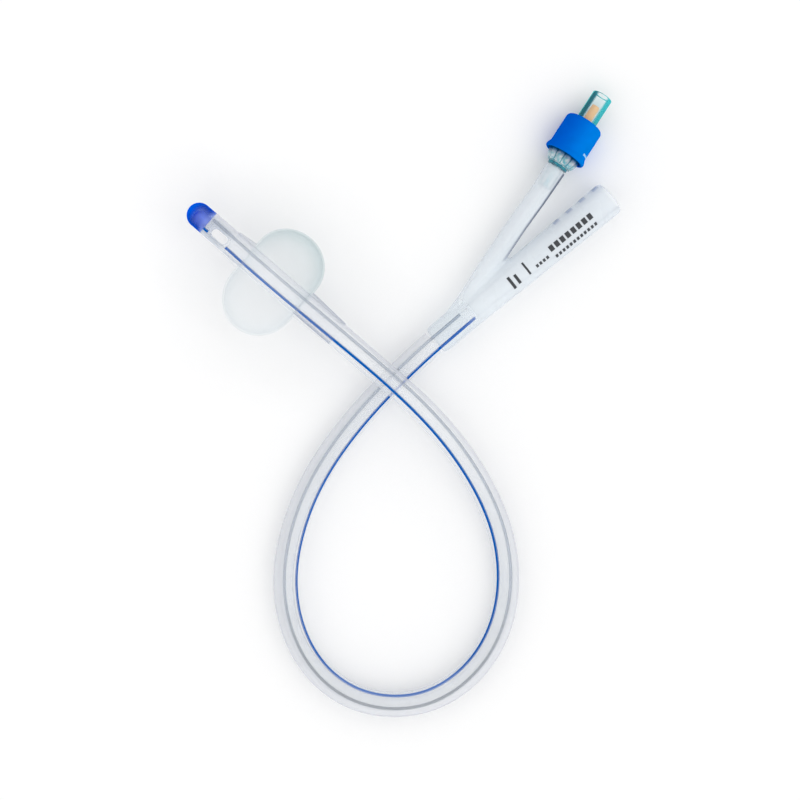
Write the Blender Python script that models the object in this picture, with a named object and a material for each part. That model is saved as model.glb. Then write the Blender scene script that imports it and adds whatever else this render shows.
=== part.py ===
"""Two-way silicone balloon catheter, 8 mm shaft, lying in a loop with its balloon filled.

Frame: +Z up, the surface that it lies on at Z = 0, and +Y along the drainage funnel, out of its mouth.
The origin is below the middle of the object's box. All sizes are in metres.
"""
import bpy
import bmesh
import numpy as np
from math import asin, atan, cos, pi, radians, sin
from mathutils import Matrix, Vector

MM = 0.001

# Clearances
SEAM = 0.3 * MM             # between bonded or nested pieces
STRIPE_SEAM = 0.2 * MM      # round the stripe in its groove
OVERCUT = 1.0 * MM          # how far a cutter runs past the face that it opens

# Shaft: an extruded tube with two lumens, and a stripe in its wall
SHAFT_OD = 8.0 * MM
DRAIN_BORE = 4.6 * MM
DRAIN_OFFSET = 0.7 * MM     # drainage lumen's centre, away from the inflation lumen
INFLATION_BORE = 0.9 * MM
INFLATION_WALL = 0.8 * MM   # outside the inflation lumen
STRIPE_WIDTH = 1.0 * MM
STRIPE_DEPTH = 0.5 * MM
STRIPE_FROM_INFLATION = radians(75)

# How far the stripe turns from the top of the tube, towards the inside of the loop
STRIPE_ON_LEGS = radians(37)
STRIPE_ON_LOOP = radians(59)
TWIST_IN = (110 * MM, 185 * MM)     # along the shaft from the tip: the turn comes on here
TWIST_OUT = (285 * MM, 375 * MM)    # and goes off here

# Tip, drainage eyes and inflation port
TIP_LENGTH = 7.7 * MM
TIP_BORE_DEPTH = 5.2 * MM
EYE_LENGTH = 6.7 * MM
EYE_WIDTH = 2.8 * MM
EYE_FROM_TIP = 5.4 * MM     # tip's joint to the eye's middle
EYE_SIDE = 0.9 * MM         # the eye's middle, off the shaft's axis
PORT_BORE = 0.8 * MM

# Balloon: its profile is an arc whose centre stands off the shaft's axis
BALLOON_ARC_R = 11.8 * MM
BALLOON_ARC_OFFSET = 6.65 * MM
BALLOON_WALL = 0.5 * MM
BALLOON_LEAN = 0.9 * MM     # the filled belly sits a little to one side
BALLOON_FOOT = 0.4 * MM     # how far it is flattened where it rests
CUFF_WALL = 0.75 * MM       # at the necks
CUFF_EDGE = 0.3 * MM        # at the cuffs' thin ends
CUFF_FROM_EYE = 0.4 * MM
CUFF_PROXIMAL = 14.2 * MM
TIP_TO_BALLOON = 27.3 * MM  # tip's joint to the balloon's middle
BALLOON_TO_CROSSING = 48.6 * MM

# Where the tip's leg passes over the funnel's leg
CROSSING = (-5.1 * MM, -15.2 * MM)
CROSSING_GAP = 0.45 * MM
TIP_LEG_ANGLE = radians(9.7)   # of the tip's leg, from +X

# Branch: collar, drainage funnel and side arm
COLLAR_WALL = 0.6 * MM
COLLAR_EDGE = 2.4 * MM      # length of the collar's rounded end
COLLAR_LENGTH = 16.0 * MM
SOCKET_DEPTH = 14.5 * MM    # of the shaft in the collar
FUNNEL_LENGTH = 73.0 * MM   # collar's end to mouth
MOUTH_BORE = 8.4 * MM
MOUTH_WALL = 1.55 * MM
MOUTH_EDGE = 0.8 * MM       # rounding of the mouth's outer edge
THROAT_BORE = 4.8 * MM      # where the shaft ends
SEAT_BORE = 7.0 * MM        # where the connector's seat begins
THROAT_LENGTH = 12.0 * MM
SEAT_FROM_MOUTH = 32.0 * MM
RIB_COUNT = 4
RIB_PITCH = 5.4 * MM
RIB_FROM_MOUTH = 3.4 * MM
RIB_HEIGHT = 0.3 * MM
RIB_WIDTH = 1.2 * MM
FUNNEL_X = -6.2 * MM
COLLAR_Y = 3.9 * MM
ARM_OD = 6.5 * MM
ARM_END_WALL = 1.0 * MM     # where it is stretched over the valve's spigot
ARM_LUMEN = 1.5 * MM
SKIVE_FROM_END = 3.0 * MM   # window into the inflation lumen, from the shaft's end

# Valve: along its own axis from the arm's end, which is at 0, to its mouth
VALVE_PLACE = (-24.8 * MM, 70.3 * MM)
VALVE_ANGLE = radians(107.5)    # of its axis, from +X
SPIGOT_LENGTH = 8.0 * MM
SPIGOT_OD = 4.4 * MM
BARB_HEIGHT = 0.25 * MM
BARB_COUNT = 3
RING_OD = 6.9 * MM
RING_WIDTH = 0.9 * MM
RING_NECK = 0.8 * MM        # between ring and crown
CROWN_HEIGHT = 2.9 * MM
CROWN_LOBES = 10
LOBE_DEPTH = 0.7 * MM
SPRING_CHAMBER = 6.0 * MM   # bore of the base's hollow plug
PLUG_WALL = 1.0 * MM
PLUG_FLOOR = 1.4 * MM       # spring's floor, above the drum's open end
DRUM_WALL = 1.1 * MM
DRUM_SHOULDER = 1.4 * MM
HEAD_ROOM = 1.9 * MM        # from the plug's end to the seat, for the head and its seal
BARREL_OD = 6.8 * MM
BARREL_BORE = 4.3 * MM      # at the mouth
BARREL_TAPER = 0.06         # on the diameter, per length
BARREL_LENGTH = 9.6 * MM    # beyond the sleeve's top
SLEEVE_WALL = 0.7 * MM
SLEEVE_EDGE = 1.5 * MM      # rounding of the sleeve's top edge
CROWN_SHOWS = 1.4 * MM      # of the crown, below the skirt
SKIRT_FLARE = 0.6 * MM
SKIRT_LENGTH = 2.6 * MM
SKIRT_WALL = 0.8 * MM
VENT_WIDTH = 0.7 * MM
VENT_HEIGHT = 7.0 * MM
VENT_ABOVE_SKIRT = 1.2 * MM

# Plunger, its seal and its spring
PLUNGER_TRAVEL = 1.5 * MM
PLUNGER_RECESS = 4.4 * MM   # from the mouth down to the plunger's top
FLOW_GAP = 0.4 * MM         # round the stem, where the fluid passes
RUNNING = 0.2 * MM          # round what slides
HEAD_RIM = 0.2 * MM         # how far the seal stands out past the head
HEAD_THICKNESS = 1.0 * MM
GUIDE_OD = 1.8 * MM
GUIDE_LENGTH = 4.0 * MM
SLOT_WIDTH = 0.8 * MM
SLOT_DEPTH = 1.0 * MM
SEAL_THICKNESS = 0.9 * MM
SPRING_WIRE = 0.4 * MM
SPRING_TURNS = 5

# How finely round forms are cut
SHAFT_SPANS = 58
SHAFT_SIDES = 22
TURN_STEPS = 24
FINE_STEPS = 16
ARC_STEPS = 9
ARM_SPANS = 12
EDGE_STEPS = 3              # in a rounded edge
BLIND_END_STEPS = 5
COIL_STEPS = 10             # in a turn of the spring

# What follows from the sizes above
SHAFT_R = SHAFT_OD / 2
SOCKET_R = SHAFT_R + SEAM
INFLATION_R = SHAFT_R - INFLATION_WALL - INFLATION_BORE / 2     # of its centre, from the shaft's axis
COLLAR_R = SOCKET_R + COLLAR_WALL
MOUTH_R = MOUTH_BORE / 2 + MOUTH_WALL
FUNNEL_Z = max(MOUTH_R, COLLAR_R)
BALLOON_Z = BALLOON_ARC_OFFSET + BALLOON_ARC_R - BALLOON_FOOT
SHAFT_END_Y = COLLAR_Y + SOCKET_DEPTH
ARM_END_OD = SPIGOT_OD + 2 * (SEAM + ARM_END_WALL)

# The valve's pieces nest in one another, so their radii follow from the inside out
PLUG_R = SPRING_CHAMBER / 2 + PLUG_WALL
DRUM_R = PLUG_R + SEAM + DRUM_WALL
CROWN_R = DRUM_R - SEAM
SLEEVE_R = DRUM_R + SEAM + SLEEVE_WALL
SKIRT_R = SLEEVE_R + SKIRT_FLARE
SEAL_R = SPRING_CHAMBER / 2 - RUNNING
HEAD_R = SEAL_R - HEAD_RIM
SPRING_R = HEAD_R - SEAM

# and their places along the axis are stacked from the arm's end up
RING_END = SEAM + RING_WIDTH
CROWN_START = RING_END + RING_NECK
CROWN_END = CROWN_START + CROWN_HEIGHT
DRUM_START = CROWN_END + SEAM
SPRING_FLOOR = DRUM_START + PLUG_FLOOR
GUIDE_END = SPRING_FLOOR + SEAM + PLUNGER_TRAVEL
HEAD_BACK = GUIDE_END + GUIDE_LENGTH
HEAD_TOP = HEAD_BACK + HEAD_THICKNESS
SEAL_BACK = HEAD_TOP + SEAM
SEAL_TOP = SEAL_BACK + SEAL_THICKNESS
SEAT_PLACE = SEAL_TOP + SEAM
PLUG_END = SEAT_PLACE - HEAD_ROOM
DRUM_END = SEAT_PLACE + DRUM_SHOULDER
SLEEVE_TOP = DRUM_END + SEAM + SLEEVE_WALL
VALVE_LENGTH = SLEEVE_TOP + BARREL_LENGTH
SKIRT_START = CROWN_START + CROWN_SHOWS
SKIRT_END = SKIRT_START + SKIRT_LENGTH
SEAT_BORE_R = BARREL_BORE / 2 - BARREL_TAPER / 2 * (VALVE_LENGTH - SEAT_PLACE)
STEM_R = SEAT_BORE_R - FLOW_GAP

# It lies on its skirt and on the sleeve's top edge, so its mouth dips a little
SKIRT_REST = SKIRT_START + 0.25 * SKIRT_LENGTH
SLEEVE_REST = SLEEVE_TOP - SLEEVE_EDGE
VALVE_DIP = atan(SKIRT_FLARE / (SLEEVE_REST - SKIRT_REST))
VALVE_Z = SKIRT_R * cos(VALVE_DIP) + SKIRT_REST * sin(VALVE_DIP)

# The shaft's route past the crossing, in plan and in millimetres, chosen by hand. The third number is the
# share of the height that is left: of the crossing's on the way down, and of the funnel's on the way up.
WAY_DOWN = [
    (4.3, -13.7, 0.89), (17.3, -12.7, 0.68), (30.4, -13.2, 0.43), (43.4, -15.4, 0.21),
    (55.9, -19.7, 0.07), (67.0, -26.6, 0.01)]
LOOP = [
    (75.8, -35.7), (81.5, -46.6), (83.6, -58.2), (81.8, -70.2), (75.7, -80.9), (66.2, -88.9), (54.4, -92.7),
    (41.7, -92.0), (29.9, -87.4), (19.7, -79.7), (11.6, -69.9), (5.2, -58.8), (0.6, -46.8)]
WAY_UP = [(-2.5, -34.2, 0.03), (-4.5, -21.5, 0.25), (-5.7, -8.7, 0.66)]

# The side arm's route in plan and in millimetres, from inside the collar to the valve's spigot
ARM_ROUTE = [(-7.4, 7.3), (-8.7, 16.3), (-12.7, 28.6), (-16.1, 39.3), (-19.1, 49.5)]


def clear_scene():
    for old in list(bpy.data.objects):
        bpy.data.objects.remove(old)


def make_material(name, colour, roughness, metallic=0.0, transmission=0.0):
    material = bpy.data.materials.new(name)
    material.use_nodes = True
    shader = material.node_tree.nodes["Principled BSDF"]
    shader.inputs["Base Color"].default_value = (*colour, 1.0)
    shader.inputs["Roughness"].default_value = roughness
    shader.inputs["Metallic"].default_value = metallic
    shader.inputs["Transmission Weight"].default_value = transmission
    return material


def add_object(name, data, material=None):
    thing = bpy.data.objects.new(name, data)
    bpy.context.scene.collection.objects.link(thing)
    if material:
        data.materials.append(material)
    return thing


def as_cutter(thing):
    thing.hide_render = True
    thing.display_type = "WIRE"
    return thing


def add_boolean(target, other, operation):
    modifier = target.modifiers.new(f"{operation.lower()} {other.name}", "BOOLEAN")
    modifier.operation = operation
    modifier.object = as_cutter(other)
    modifier.solver = "EXACT"


def finish_mesh(bm, name, material=None):
    """Merge doubles, turn the faces outwards, shade smooth and make the object."""
    bmesh.ops.remove_doubles(bm, verts=bm.verts, dist=0.001 * MM)
    bmesh.ops.recalc_face_normals(bm, faces=bm.faces)
    mesh = bpy.data.meshes.new(name)
    bm.to_mesh(mesh)
    bm.free()
    mesh.shade_smooth()
    mesh.set_sharp_from_angle(angle=radians(35))
    return add_object(name, mesh, material)


def turned_bmesh(profile, steps):
    """Spin a closed outline of (along, radius) points about local Y."""
    bm = bmesh.new()
    corners = [bm.verts.new((radius, along, 0)) for along, radius in profile]
    edges = [bm.edges.new((a, b)) for a, b in zip(corners, corners[1:] + corners[:1])]
    on_axis = [e for e in edges if all(v.co.x < 1e-9 for v in e.verts)]
    bmesh.ops.delete(bm, geom=on_axis, context="EDGES")
    bmesh.ops.spin(
        bm, geom=bm.verts[:] + bm.edges[:], axis=(0, 1, 0), cent=(0, 0, 0),
        angle=2 * pi, steps=steps, use_merge=True)
    bmesh.ops.remove_doubles(bm, verts=bm.verts, dist=0.001 * MM)
    return bm


def turned(name, profile, steps, material=None, place=None):
    bm = turned_bmesh(profile, steps)
    if place:
        bm.transform(place)
    return finish_mesh(bm, name, material)


def rod_along(name, start, end, radius, sides, material=None):
    """A plain round bar between two points."""
    start, end = Vector(start), Vector(end)
    run = end - start
    bm = bmesh.new()
    bmesh.ops.create_cone(
        bm, cap_ends=True, segments=sides, radius1=radius, radius2=radius, depth=run.length,
        matrix=Matrix.Translation((start + end) / 2) @ run.to_track_quat("Z", "Y").to_matrix().to_4x4())
    return finish_mesh(bm, name, material)


def smooth_route(points, spans):
    """Evenly spaced points on the natural cubic spline through the given ones: a bent tube's own curve."""
    points = np.array(points, float)
    knots = np.concatenate([[0.0], np.cumsum(np.linalg.norm(np.diff(points, axis=0), axis=1))])
    step = np.diff(knots)
    count = len(points)
    system, right = np.eye(count), np.zeros((count, 3))
    for i in range(1, count - 1):
        system[i, i - 1:i + 2] = step[i - 1], 2 * (step[i - 1] + step[i]), step[i]
        slopes = np.diff(points[i - 1:i + 2], axis=0) / step[i - 1:i + 1, None]
        right[i] = 6 * (slopes[1] - slopes[0])
    bend = np.linalg.solve(system, right)

    at = np.linspace(0, knots[-1], 40 * count)
    i = np.clip(np.searchsorted(knots, at) - 1, 0, count - 2)
    h, before, after = step[i, None], (at - knots[i])[:, None], (knots[i + 1] - at)[:, None]
    fine = (bend[i] * after**3 + bend[i + 1] * before**3) / (6 * h) \
        + (points[i] / h - bend[i] * h / 6) * after \
        + (points[i + 1] / h - bend[i + 1] * h / 6) * before

    along = np.concatenate([[0.0], np.cumsum(np.linalg.norm(np.diff(fine, axis=0), axis=1))])
    even = np.linspace(0, along[-1], spans + 1)
    return np.stack([np.interp(even, along, fine[:, axis]) for axis in range(3)], axis=1), even


def extended(points, extra):
    """The same points, with both ends moved out along the tube."""
    points = np.array(points)
    for end, inner in ((0, 1), (-1, -2)):
        run = points[end] - points[inner]
        points[end] += run / np.linalg.norm(run) * extra
    return points


def swept(name, points, section, tilts=None, scales=None, material=None):
    """Sweep a closed section along the points. Section +y is the top of the tube, +x its right-hand side."""
    outline = bpy.data.curves.new(f"{name} section", "CURVE")
    spline = outline.splines.new("POLY")
    spline.points.add(len(section) - 1)
    for point, (x, y) in zip(spline.points, section):
        point.co = (x, y, 0, 1)
    spline.use_cyclic_u = True
    section_object = as_cutter(add_object(f"{name} section", outline))

    path = bpy.data.curves.new(f"{name} path", "CURVE")
    path.dimensions = "3D"
    path.twist_mode = "Z_UP"
    path.bevel_mode = "OBJECT"
    path.bevel_object = section_object
    path.use_fill_caps = True
    spline = path.splines.new("POLY")
    spline.points.add(len(points) - 1)
    for i, point in enumerate(spline.points):
        point.co = (*points[i], 1)
        point.tilt = 0 if tilts is None else tilts[i]
        point.radius = 1 if scales is None else scales[i]
    path_object = as_cutter(add_object(f"{name} path", path))

    graph = bpy.context.evaluated_depsgraph_get()
    graph.update()
    bm = bmesh.new()
    bm.from_mesh(path_object.evaluated_get(graph).to_mesh())
    for helper in (path_object, section_object):
        bpy.data.objects.remove(helper)
    return finish_mesh(bm, name, material)


def block(name, size, place, frame):
    """A cutter's box, centred on local Y."""
    bm = bmesh.new()
    bmesh.ops.create_cube(bm, size=1)
    bmesh.ops.scale(bm, vec=size, verts=bm.verts)
    bmesh.ops.translate(bm, vec=(0, place, 0), verts=bm.verts)
    bm.transform(frame)
    return finish_mesh(bm, name)


def circle(radius, sides, centre=(0, 0)):
    turn = 2 * pi / sides
    return [(centre[0] + radius * sin(i * turn), centre[1] + radius * cos(i * turn)) for i in range(sides)]


def quarter_turn():
    """The angles of a rounded edge's corners."""
    return [pi / 2 * i / EDGE_STEPS for i in range(EDGE_STEPS + 1)]


def on_section(radius, angle):
    """A place on the shaft's section, by its angle from the stripe towards the right-hand side."""
    return radius * sin(angle), radius * cos(angle)


def crossing_heights():
    """Centre heights of the lower and the upper leg where they cross."""
    lower = SHAFT_R + 0.45 * (FUNNEL_Z - SHAFT_R)
    return lower, lower + SHAFT_OD + CROSSING_GAP


def tip_leg(distance):
    """A point on the straight leg that carries tip and balloon, by its distance from the tip's joint."""
    back = TIP_TO_BALLOON + BALLOON_TO_CROSSING - distance
    upper = crossing_heights()[1]
    slope = (BALLOON_Z - upper) / BALLOON_TO_CROSSING
    return Vector((
        CROSSING[0] - back * cos(TIP_LEG_ANGLE),
        CROSSING[1] - back * sin(TIP_LEG_ANGLE),
        upper + back * slope))


def shaft_route():
    table, upper = SHAFT_R, crossing_heights()[1]
    leg = TIP_TO_BALLOON + BALLOON_TO_CROSSING
    route = [tip_leg(leg * share) for share in (0, 0.18, 0.36, 0.54, 0.7, 0.85, 1)]
    route += [(x * MM, y * MM, table + share * (upper - table)) for x, y, share in WAY_DOWN]
    route += [(x * MM, y * MM, table) for x, y in LOOP]
    route += [(x * MM, y * MM, table + share * (FUNNEL_Z - table)) for x, y, share in WAY_UP]
    in_socket = [COLLAR_Y + share * SOCKET_DEPTH for share in (0.3, 0.65, 1)]
    route += [(FUNNEL_X, y, FUNNEL_Z) for y in (0.9 * COLLAR_Y - 2 * MM, *in_socket)]
    return smooth_route(route, SHAFT_SPANS)


def stripe_turn(distance):
    """How far the stripe stands from the top of the tube, at a distance from the tip's joint."""
    def eased(start, end):
        share = min(max((distance - start) / (end - start), 0), 1)
        return share * share * (3 - 2 * share)
    return STRIPE_ON_LEGS + (STRIPE_ON_LOOP - STRIPE_ON_LEGS) * (eased(*TWIST_IN) - eased(*TWIST_OUT))


def shaft_section():
    """Round section with the stripe's groove at its top."""
    half = asin((STRIPE_WIDTH / 2 + STRIPE_SEAM) / SHAFT_R)
    floor = SHAFT_R * cos(half) - STRIPE_DEPTH - STRIPE_SEAM
    span = 2 * (pi - half)
    rim = [on_section(SHAFT_R, half + span * i / SHAFT_SIDES) for i in range(SHAFT_SIDES + 1)]
    side = STRIPE_WIDTH / 2 + STRIPE_SEAM
    return rim + [(-side, floor), (side, floor)]


def stripe_section():
    half = asin(STRIPE_WIDTH / 2 / SHAFT_R)
    side, shoulder = on_section(SHAFT_R, half)
    floor = SHAFT_R * cos(asin((STRIPE_WIDTH / 2 + STRIPE_SEAM) / SHAFT_R)) - STRIPE_DEPTH
    return [(-side, floor), (-side, shoulder), (0, SHAFT_R), (side, shoulder), (side, floor)]


def lumen_place(radius, angle, distance, middle):
    """A world place on the shaft's section: the offset is turned with the stripe and laid across the tube."""
    points, along = shaft_route()
    ahead = Vector(np.interp(distance + 1 * MM, along, points[:, k]) for k in range(3))
    behind = Vector(np.interp(distance - 1 * MM, along, points[:, k]) for k in range(3))
    travel = (ahead - behind).normalized()
    right = travel.cross(Vector((0, 0, 1))).normalized()
    top = right.cross(travel)
    x, y = on_section(radius, angle + stripe_turn(distance))
    return middle + right * x + top * y


def part_of_route(points, along, start, end):
    """The stretch of the route between two distances, with its tilts."""
    inside = (along > start) & (along < end)
    at = np.concatenate([[start], along[inside], [end]])
    stretch = np.stack([np.interp(at, along, points[:, k]) for k in range(3)], axis=1)
    return stretch, [stripe_turn(d) for d in at]


def eye_cutter(margin=0.0):
    """A straight slot with round ends, down through both walls: the two drainage eyes."""
    middle = tip_leg(EYE_FROM_TIP)
    radius = EYE_WIDTH / 2 + margin
    reach = (EYE_LENGTH - EYE_WIDTH) / 2
    bm = bmesh.new()
    outline = []
    for end in (1, -1):
        for i in range(FINE_STEPS // 2 + 1):
            turn = pi * i / (FINE_STEPS // 2)
            across = end * radius * cos(turn) - EYE_SIDE
            outline.append((end * (reach + radius * sin(turn)), across, -SHAFT_OD))
    face = bm.faces.new([bm.verts.new(co) for co in outline])
    walls = bmesh.ops.extrude_face_region(bm, geom=[face])
    bmesh.ops.translate(bm, vec=(0, 0, 2 * SHAFT_OD), verts=[g for g in walls["geom"] if hasattr(g, "co")])
    bm.transform(Matrix.Translation(middle) @ Matrix.Rotation(TIP_LEG_ANGLE, 4, "Z"))
    return finish_mesh(bm, "eye cutter", None)


def build_shaft(silicone, points, along):
    tilts = [stripe_turn(d) for d in along]
    shaft = swept("shaft", points, shaft_section(), tilts, material=silicone)

    away = STRIPE_FROM_INFLATION + pi
    drain = circle(DRAIN_BORE / 2, FINE_STEPS - 2, on_section(DRAIN_OFFSET, -away))
    add_boolean(shaft, swept("drainage lumen", extended(points, OVERCUT), drain, tilts), "DIFFERENCE")

    port = TIP_TO_BALLOON
    window = along[-1] - SKIVE_FROM_END
    stretch, turns = part_of_route(points, along, port, window)
    fine = circle(INFLATION_BORE / 2, 6, on_section(INFLATION_R, -STRIPE_FROM_INFLATION))
    add_boolean(shaft, swept("inflation lumen", stretch, fine, turns), "DIFFERENCE")

    port_at = port + 2 * PORT_BORE
    inner = lumen_place(INFLATION_R, -STRIPE_FROM_INFLATION, port_at, tip_leg(port_at))
    outer = lumen_place(SHAFT_R + OVERCUT, -STRIPE_FROM_INFLATION, port_at, tip_leg(port_at))
    add_boolean(shaft, rod_along("inflation port", inner, outer, PORT_BORE / 2, 8), "DIFFERENCE")
    add_boolean(shaft, arm_lumen("skive", along[-1]), "DIFFERENCE")
    add_boolean(shaft, eye_cutter(), "DIFFERENCE")
    return shaft


def build_stripe(blue, points, along):
    """The stripe lies in the shaft's groove on both sides of the drainage eye."""
    half_eye = EYE_LENGTH / 2 + SEAM
    for name, start, end in (
            ("xray_line_end", 0, EYE_FROM_TIP - half_eye),
            ("xray_line", EYE_FROM_TIP + half_eye, along[-1])):
        stretch, turns = part_of_route(points, along, start, end)
        swept(name, stretch, stripe_section(), turns, material=blue)


def build_tip(blue):
    """A round-ended cap, with the drainage lumen's blind end in it."""
    joint = SEAM
    dome_start = TIP_LENGTH - SHAFT_R
    outer = [(joint, 0), (joint, SHAFT_R)]
    outer += [
        (dome_start + SHAFT_R * sin(pi / 2 * i / ARC_STEPS), SHAFT_R * cos(pi / 2 * i / ARC_STEPS))
        for i in range(ARC_STEPS)]
    outer += [(TIP_LENGTH, 0)]
    bore_r = DRAIN_BORE / 2
    bore = [(-OVERCUT, 0), (-OVERCUT, bore_r)]
    for i in range(BLIND_END_STEPS):
        turn = pi / 2 * i / BLIND_END_STEPS
        bore.append((TIP_BORE_DEPTH - bore_r + bore_r * sin(turn), bore_r * cos(turn)))
    bore += [(TIP_BORE_DEPTH, 0)]

    start = tip_leg(0)
    backwards = (tip_leg(0) - tip_leg(10 * MM)).normalized()
    turn = backwards.to_track_quat("Y", "Z").to_matrix().to_4x4()
    tip = turned("tip", outer, TURN_STEPS, blue, Matrix.Translation(start) @ turn)
    middle = lumen_place(DRAIN_OFFSET, pi - STRIPE_FROM_INFLATION, 2 * MM, start)
    cutter = turned("tip bore", bore, FINE_STEPS - 2, None, Matrix.Translation(middle) @ turn)
    add_boolean(tip, cutter, "DIFFERENCE")


def balloon_profile():
    """Outline of wall and cuffs: from the distal cuff's end, out over the belly and back inside."""
    inner_r = SHAFT_R + SEAM
    neck_r = inner_r + CUFF_WALL

    def arc(radius, end_r, back):
        reach = asin((BALLOON_ARC_OFFSET - end_r) / radius)
        turns = [-reach + (pi + 2 * reach) * i / (2 * ARC_STEPS) for i in range(2 * ARC_STEPS + 1)]
        curve = [(-radius * cos(t), BALLOON_ARC_OFFSET + radius * sin(t)) for t in turns]
        return curve[::-1] if back else curve

    belly = arc(BALLOON_ARC_R, neck_r, False)
    lining = arc(BALLOON_ARC_R - BALLOON_WALL, inner_r, True)
    neck = belly[-1][0]
    eye_end = EYE_FROM_TIP + EYE_LENGTH / 2
    start, end = eye_end + CUFF_FROM_EYE - TIP_TO_BALLOON, neck + CUFF_PROXIMAL
    return [(start, inner_r), (start, inner_r + CUFF_EDGE)] + belly \
        + [(end, inner_r + CUFF_EDGE), (end, inner_r)] + lining


def build_balloon(clear_silicone):
    """Turned about the shaft, then the belly leans over and flattens where it rests."""
    bm = turned_bmesh(balloon_profile(), TURN_STEPS + 4)
    neck_r = SHAFT_R + SEAM + CUFF_WALL
    belly_r = BALLOON_ARC_OFFSET + BALLOON_ARC_R
    middle = tip_leg(TIP_TO_BALLOON)
    run = (tip_leg(TIP_TO_BALLOON + 10 * MM) - middle).normalized()
    place = Matrix.Translation(middle) @ run.to_track_quat("Y", "Z").to_matrix().to_4x4()
    for vert in bm.verts:
        radius = Vector((vert.co.x, vert.co.z)).length
        share = max(radius - neck_r, 0) / (belly_r - neck_r)
        inside = BALLOON_ARC_R - (Vector((vert.co.y, radius - BALLOON_ARC_OFFSET))).length > BALLOON_WALL / 2
        vert.co.x += BALLOON_LEAN * share
        vert.co = place @ vert.co
        vert.co.z = max(vert.co.z, BALLOON_WALL if inside and share > 0 else 0)
    return finish_mesh(bm, "balloon", clear_silicone)


def funnel_bore_r(along):
    """Radius of the funnel's bore, by the distance from the collar's end."""
    throat_end = SOCKET_DEPTH + THROAT_LENGTH
    stations = [
        (SOCKET_DEPTH, THROAT_BORE / 2), (throat_end, THROAT_BORE / 2 + 0.2 * MM),
        (FUNNEL_LENGTH - SEAT_FROM_MOUTH, SEAT_BORE / 2), (FUNNEL_LENGTH, MOUTH_BORE / 2)]
    return float(np.interp(along, *zip(*stations)))


def funnel_bore_profile():
    """Outline of what is cut from the funnel: shaft's socket, throat, and ribbed connector seat."""
    bottom = SOCKET_DEPTH + SEAM
    outline = [(-OVERCUT, 0), (-OVERCUT, SOCKET_R), (bottom, SOCKET_R), (bottom, funnel_bore_r(bottom))]
    for station in (SOCKET_DEPTH + THROAT_LENGTH, FUNNEL_LENGTH - SEAT_FROM_MOUTH):
        outline.append((station, funnel_bore_r(station)))
    for i in reversed(range(RIB_COUNT)):
        crest = FUNNEL_LENGTH - RIB_FROM_MOUTH - i * RIB_PITCH
        for place, height in ((crest - RIB_WIDTH / 2, 0), (crest, RIB_HEIGHT), (crest + RIB_WIDTH / 2, 0)):
            outline.append((place, funnel_bore_r(place) - height))
    end = FUNNEL_LENGTH + OVERCUT
    return outline + [(end, MOUTH_BORE / 2), (end, 0)]


def funnel_profile():
    """Outer outline: rounded collar end, collar, gentle cone and rounded mouth edge."""
    start_r = SOCKET_R + COLLAR_WALL / 2
    outline = [(0, 0)]
    for turn in quarter_turn():
        outline.append((COLLAR_EDGE * (1 - cos(turn)), start_r + (COLLAR_R - start_r) * sin(turn)))
    outline.append((COLLAR_LENGTH, COLLAR_R))
    for turn in quarter_turn():
        outline.append((FUNNEL_LENGTH - MOUTH_EDGE * (1 - sin(turn)), MOUTH_R - MOUTH_EDGE * (1 - cos(turn))))
    return outline + [(FUNNEL_LENGTH, 0)]


def valve_frame():
    """Valve axis on local Y, its arm end at the origin."""
    place = Vector((*VALVE_PLACE, VALVE_Z))
    turn = Matrix.Rotation(VALVE_ANGLE - pi / 2, 4, "Z") @ Matrix.Rotation(-VALVE_DIP, 4, "X")
    return Matrix.Translation(place) @ turn


def arm_route():
    """The side arm's axis, which ends straight in line with the valve and rises to its height."""
    frame = valve_frame()
    straight = [frame @ Vector((0, -d, 0)) for d in (SPIGOT_LENGTH + 2 * MM, SPIGOT_LENGTH / 2, 0)]
    rise = (0, 0, 0.1, 0.35, 0.7)
    bent = [(x * MM, y * MM, FUNNEL_Z + up * (VALVE_Z - FUNNEL_Z)) for (x, y), up in zip(ARM_ROUTE, rise)]
    return bent + [tuple(p) for p in straight]


def arm_lumen(name, shaft_length):
    """The fine lumen: down the arm's axis, beside the shaft, and through its wall into its own fine lumen."""
    station = shaft_length - SKIVE_FROM_END
    middle = Vector((FUNNEL_X, SHAFT_END_Y - SKIVE_FROM_END, FUNNEL_Z))
    target = lumen_place(INFLATION_R, -STRIPE_FROM_INFLATION, station, middle)
    beside = Vector((FUNNEL_X - SOCKET_R - ARM_LUMEN, target.y + 4 * MM, target.z))
    route = [target, beside] + arm_route()[3:]
    points, _ = smooth_route(route, ARM_SPANS)
    return swept(name, extended(points, 0), circle(ARM_LUMEN / 2, 8))


def build_bifurcation(silicone, shaft_length):
    at_collar = Matrix.Translation((FUNNEL_X, COLLAR_Y, FUNNEL_Z))
    branch = turned("bifurcation", funnel_profile(), TURN_STEPS + 4, silicone, at_collar)

    points, along = smooth_route(arm_route(), ARM_SPANS)
    flare_from = along[-1] - SPIGOT_LENGTH
    flare = [
        1 + (ARM_END_OD / ARM_OD - 1) * min(max((d - flare_from) / SPIGOT_LENGTH, 0), 1) for d in along]
    arm = swept("arm", points, circle(ARM_OD / 2, FINE_STEPS + 2), scales=flare)
    add_boolean(branch, arm, "UNION")

    bore = turned("funnel bore", funnel_bore_profile(), TURN_STEPS, None, at_collar)
    add_boolean(branch, bore, "DIFFERENCE")
    add_boolean(branch, arm_lumen("inflation branch", shaft_length), "DIFFERENCE")
    frame = valve_frame()
    socket = rod_along(
        "spigot socket", frame @ Vector((0, -SPIGOT_LENGTH - SEAM, 0)), frame @ Vector((0, OVERCUT, 0)),
        SPIGOT_OD / 2 + SEAM, FINE_STEPS)
    add_boolean(branch, socket, "DIFFERENCE")


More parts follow.
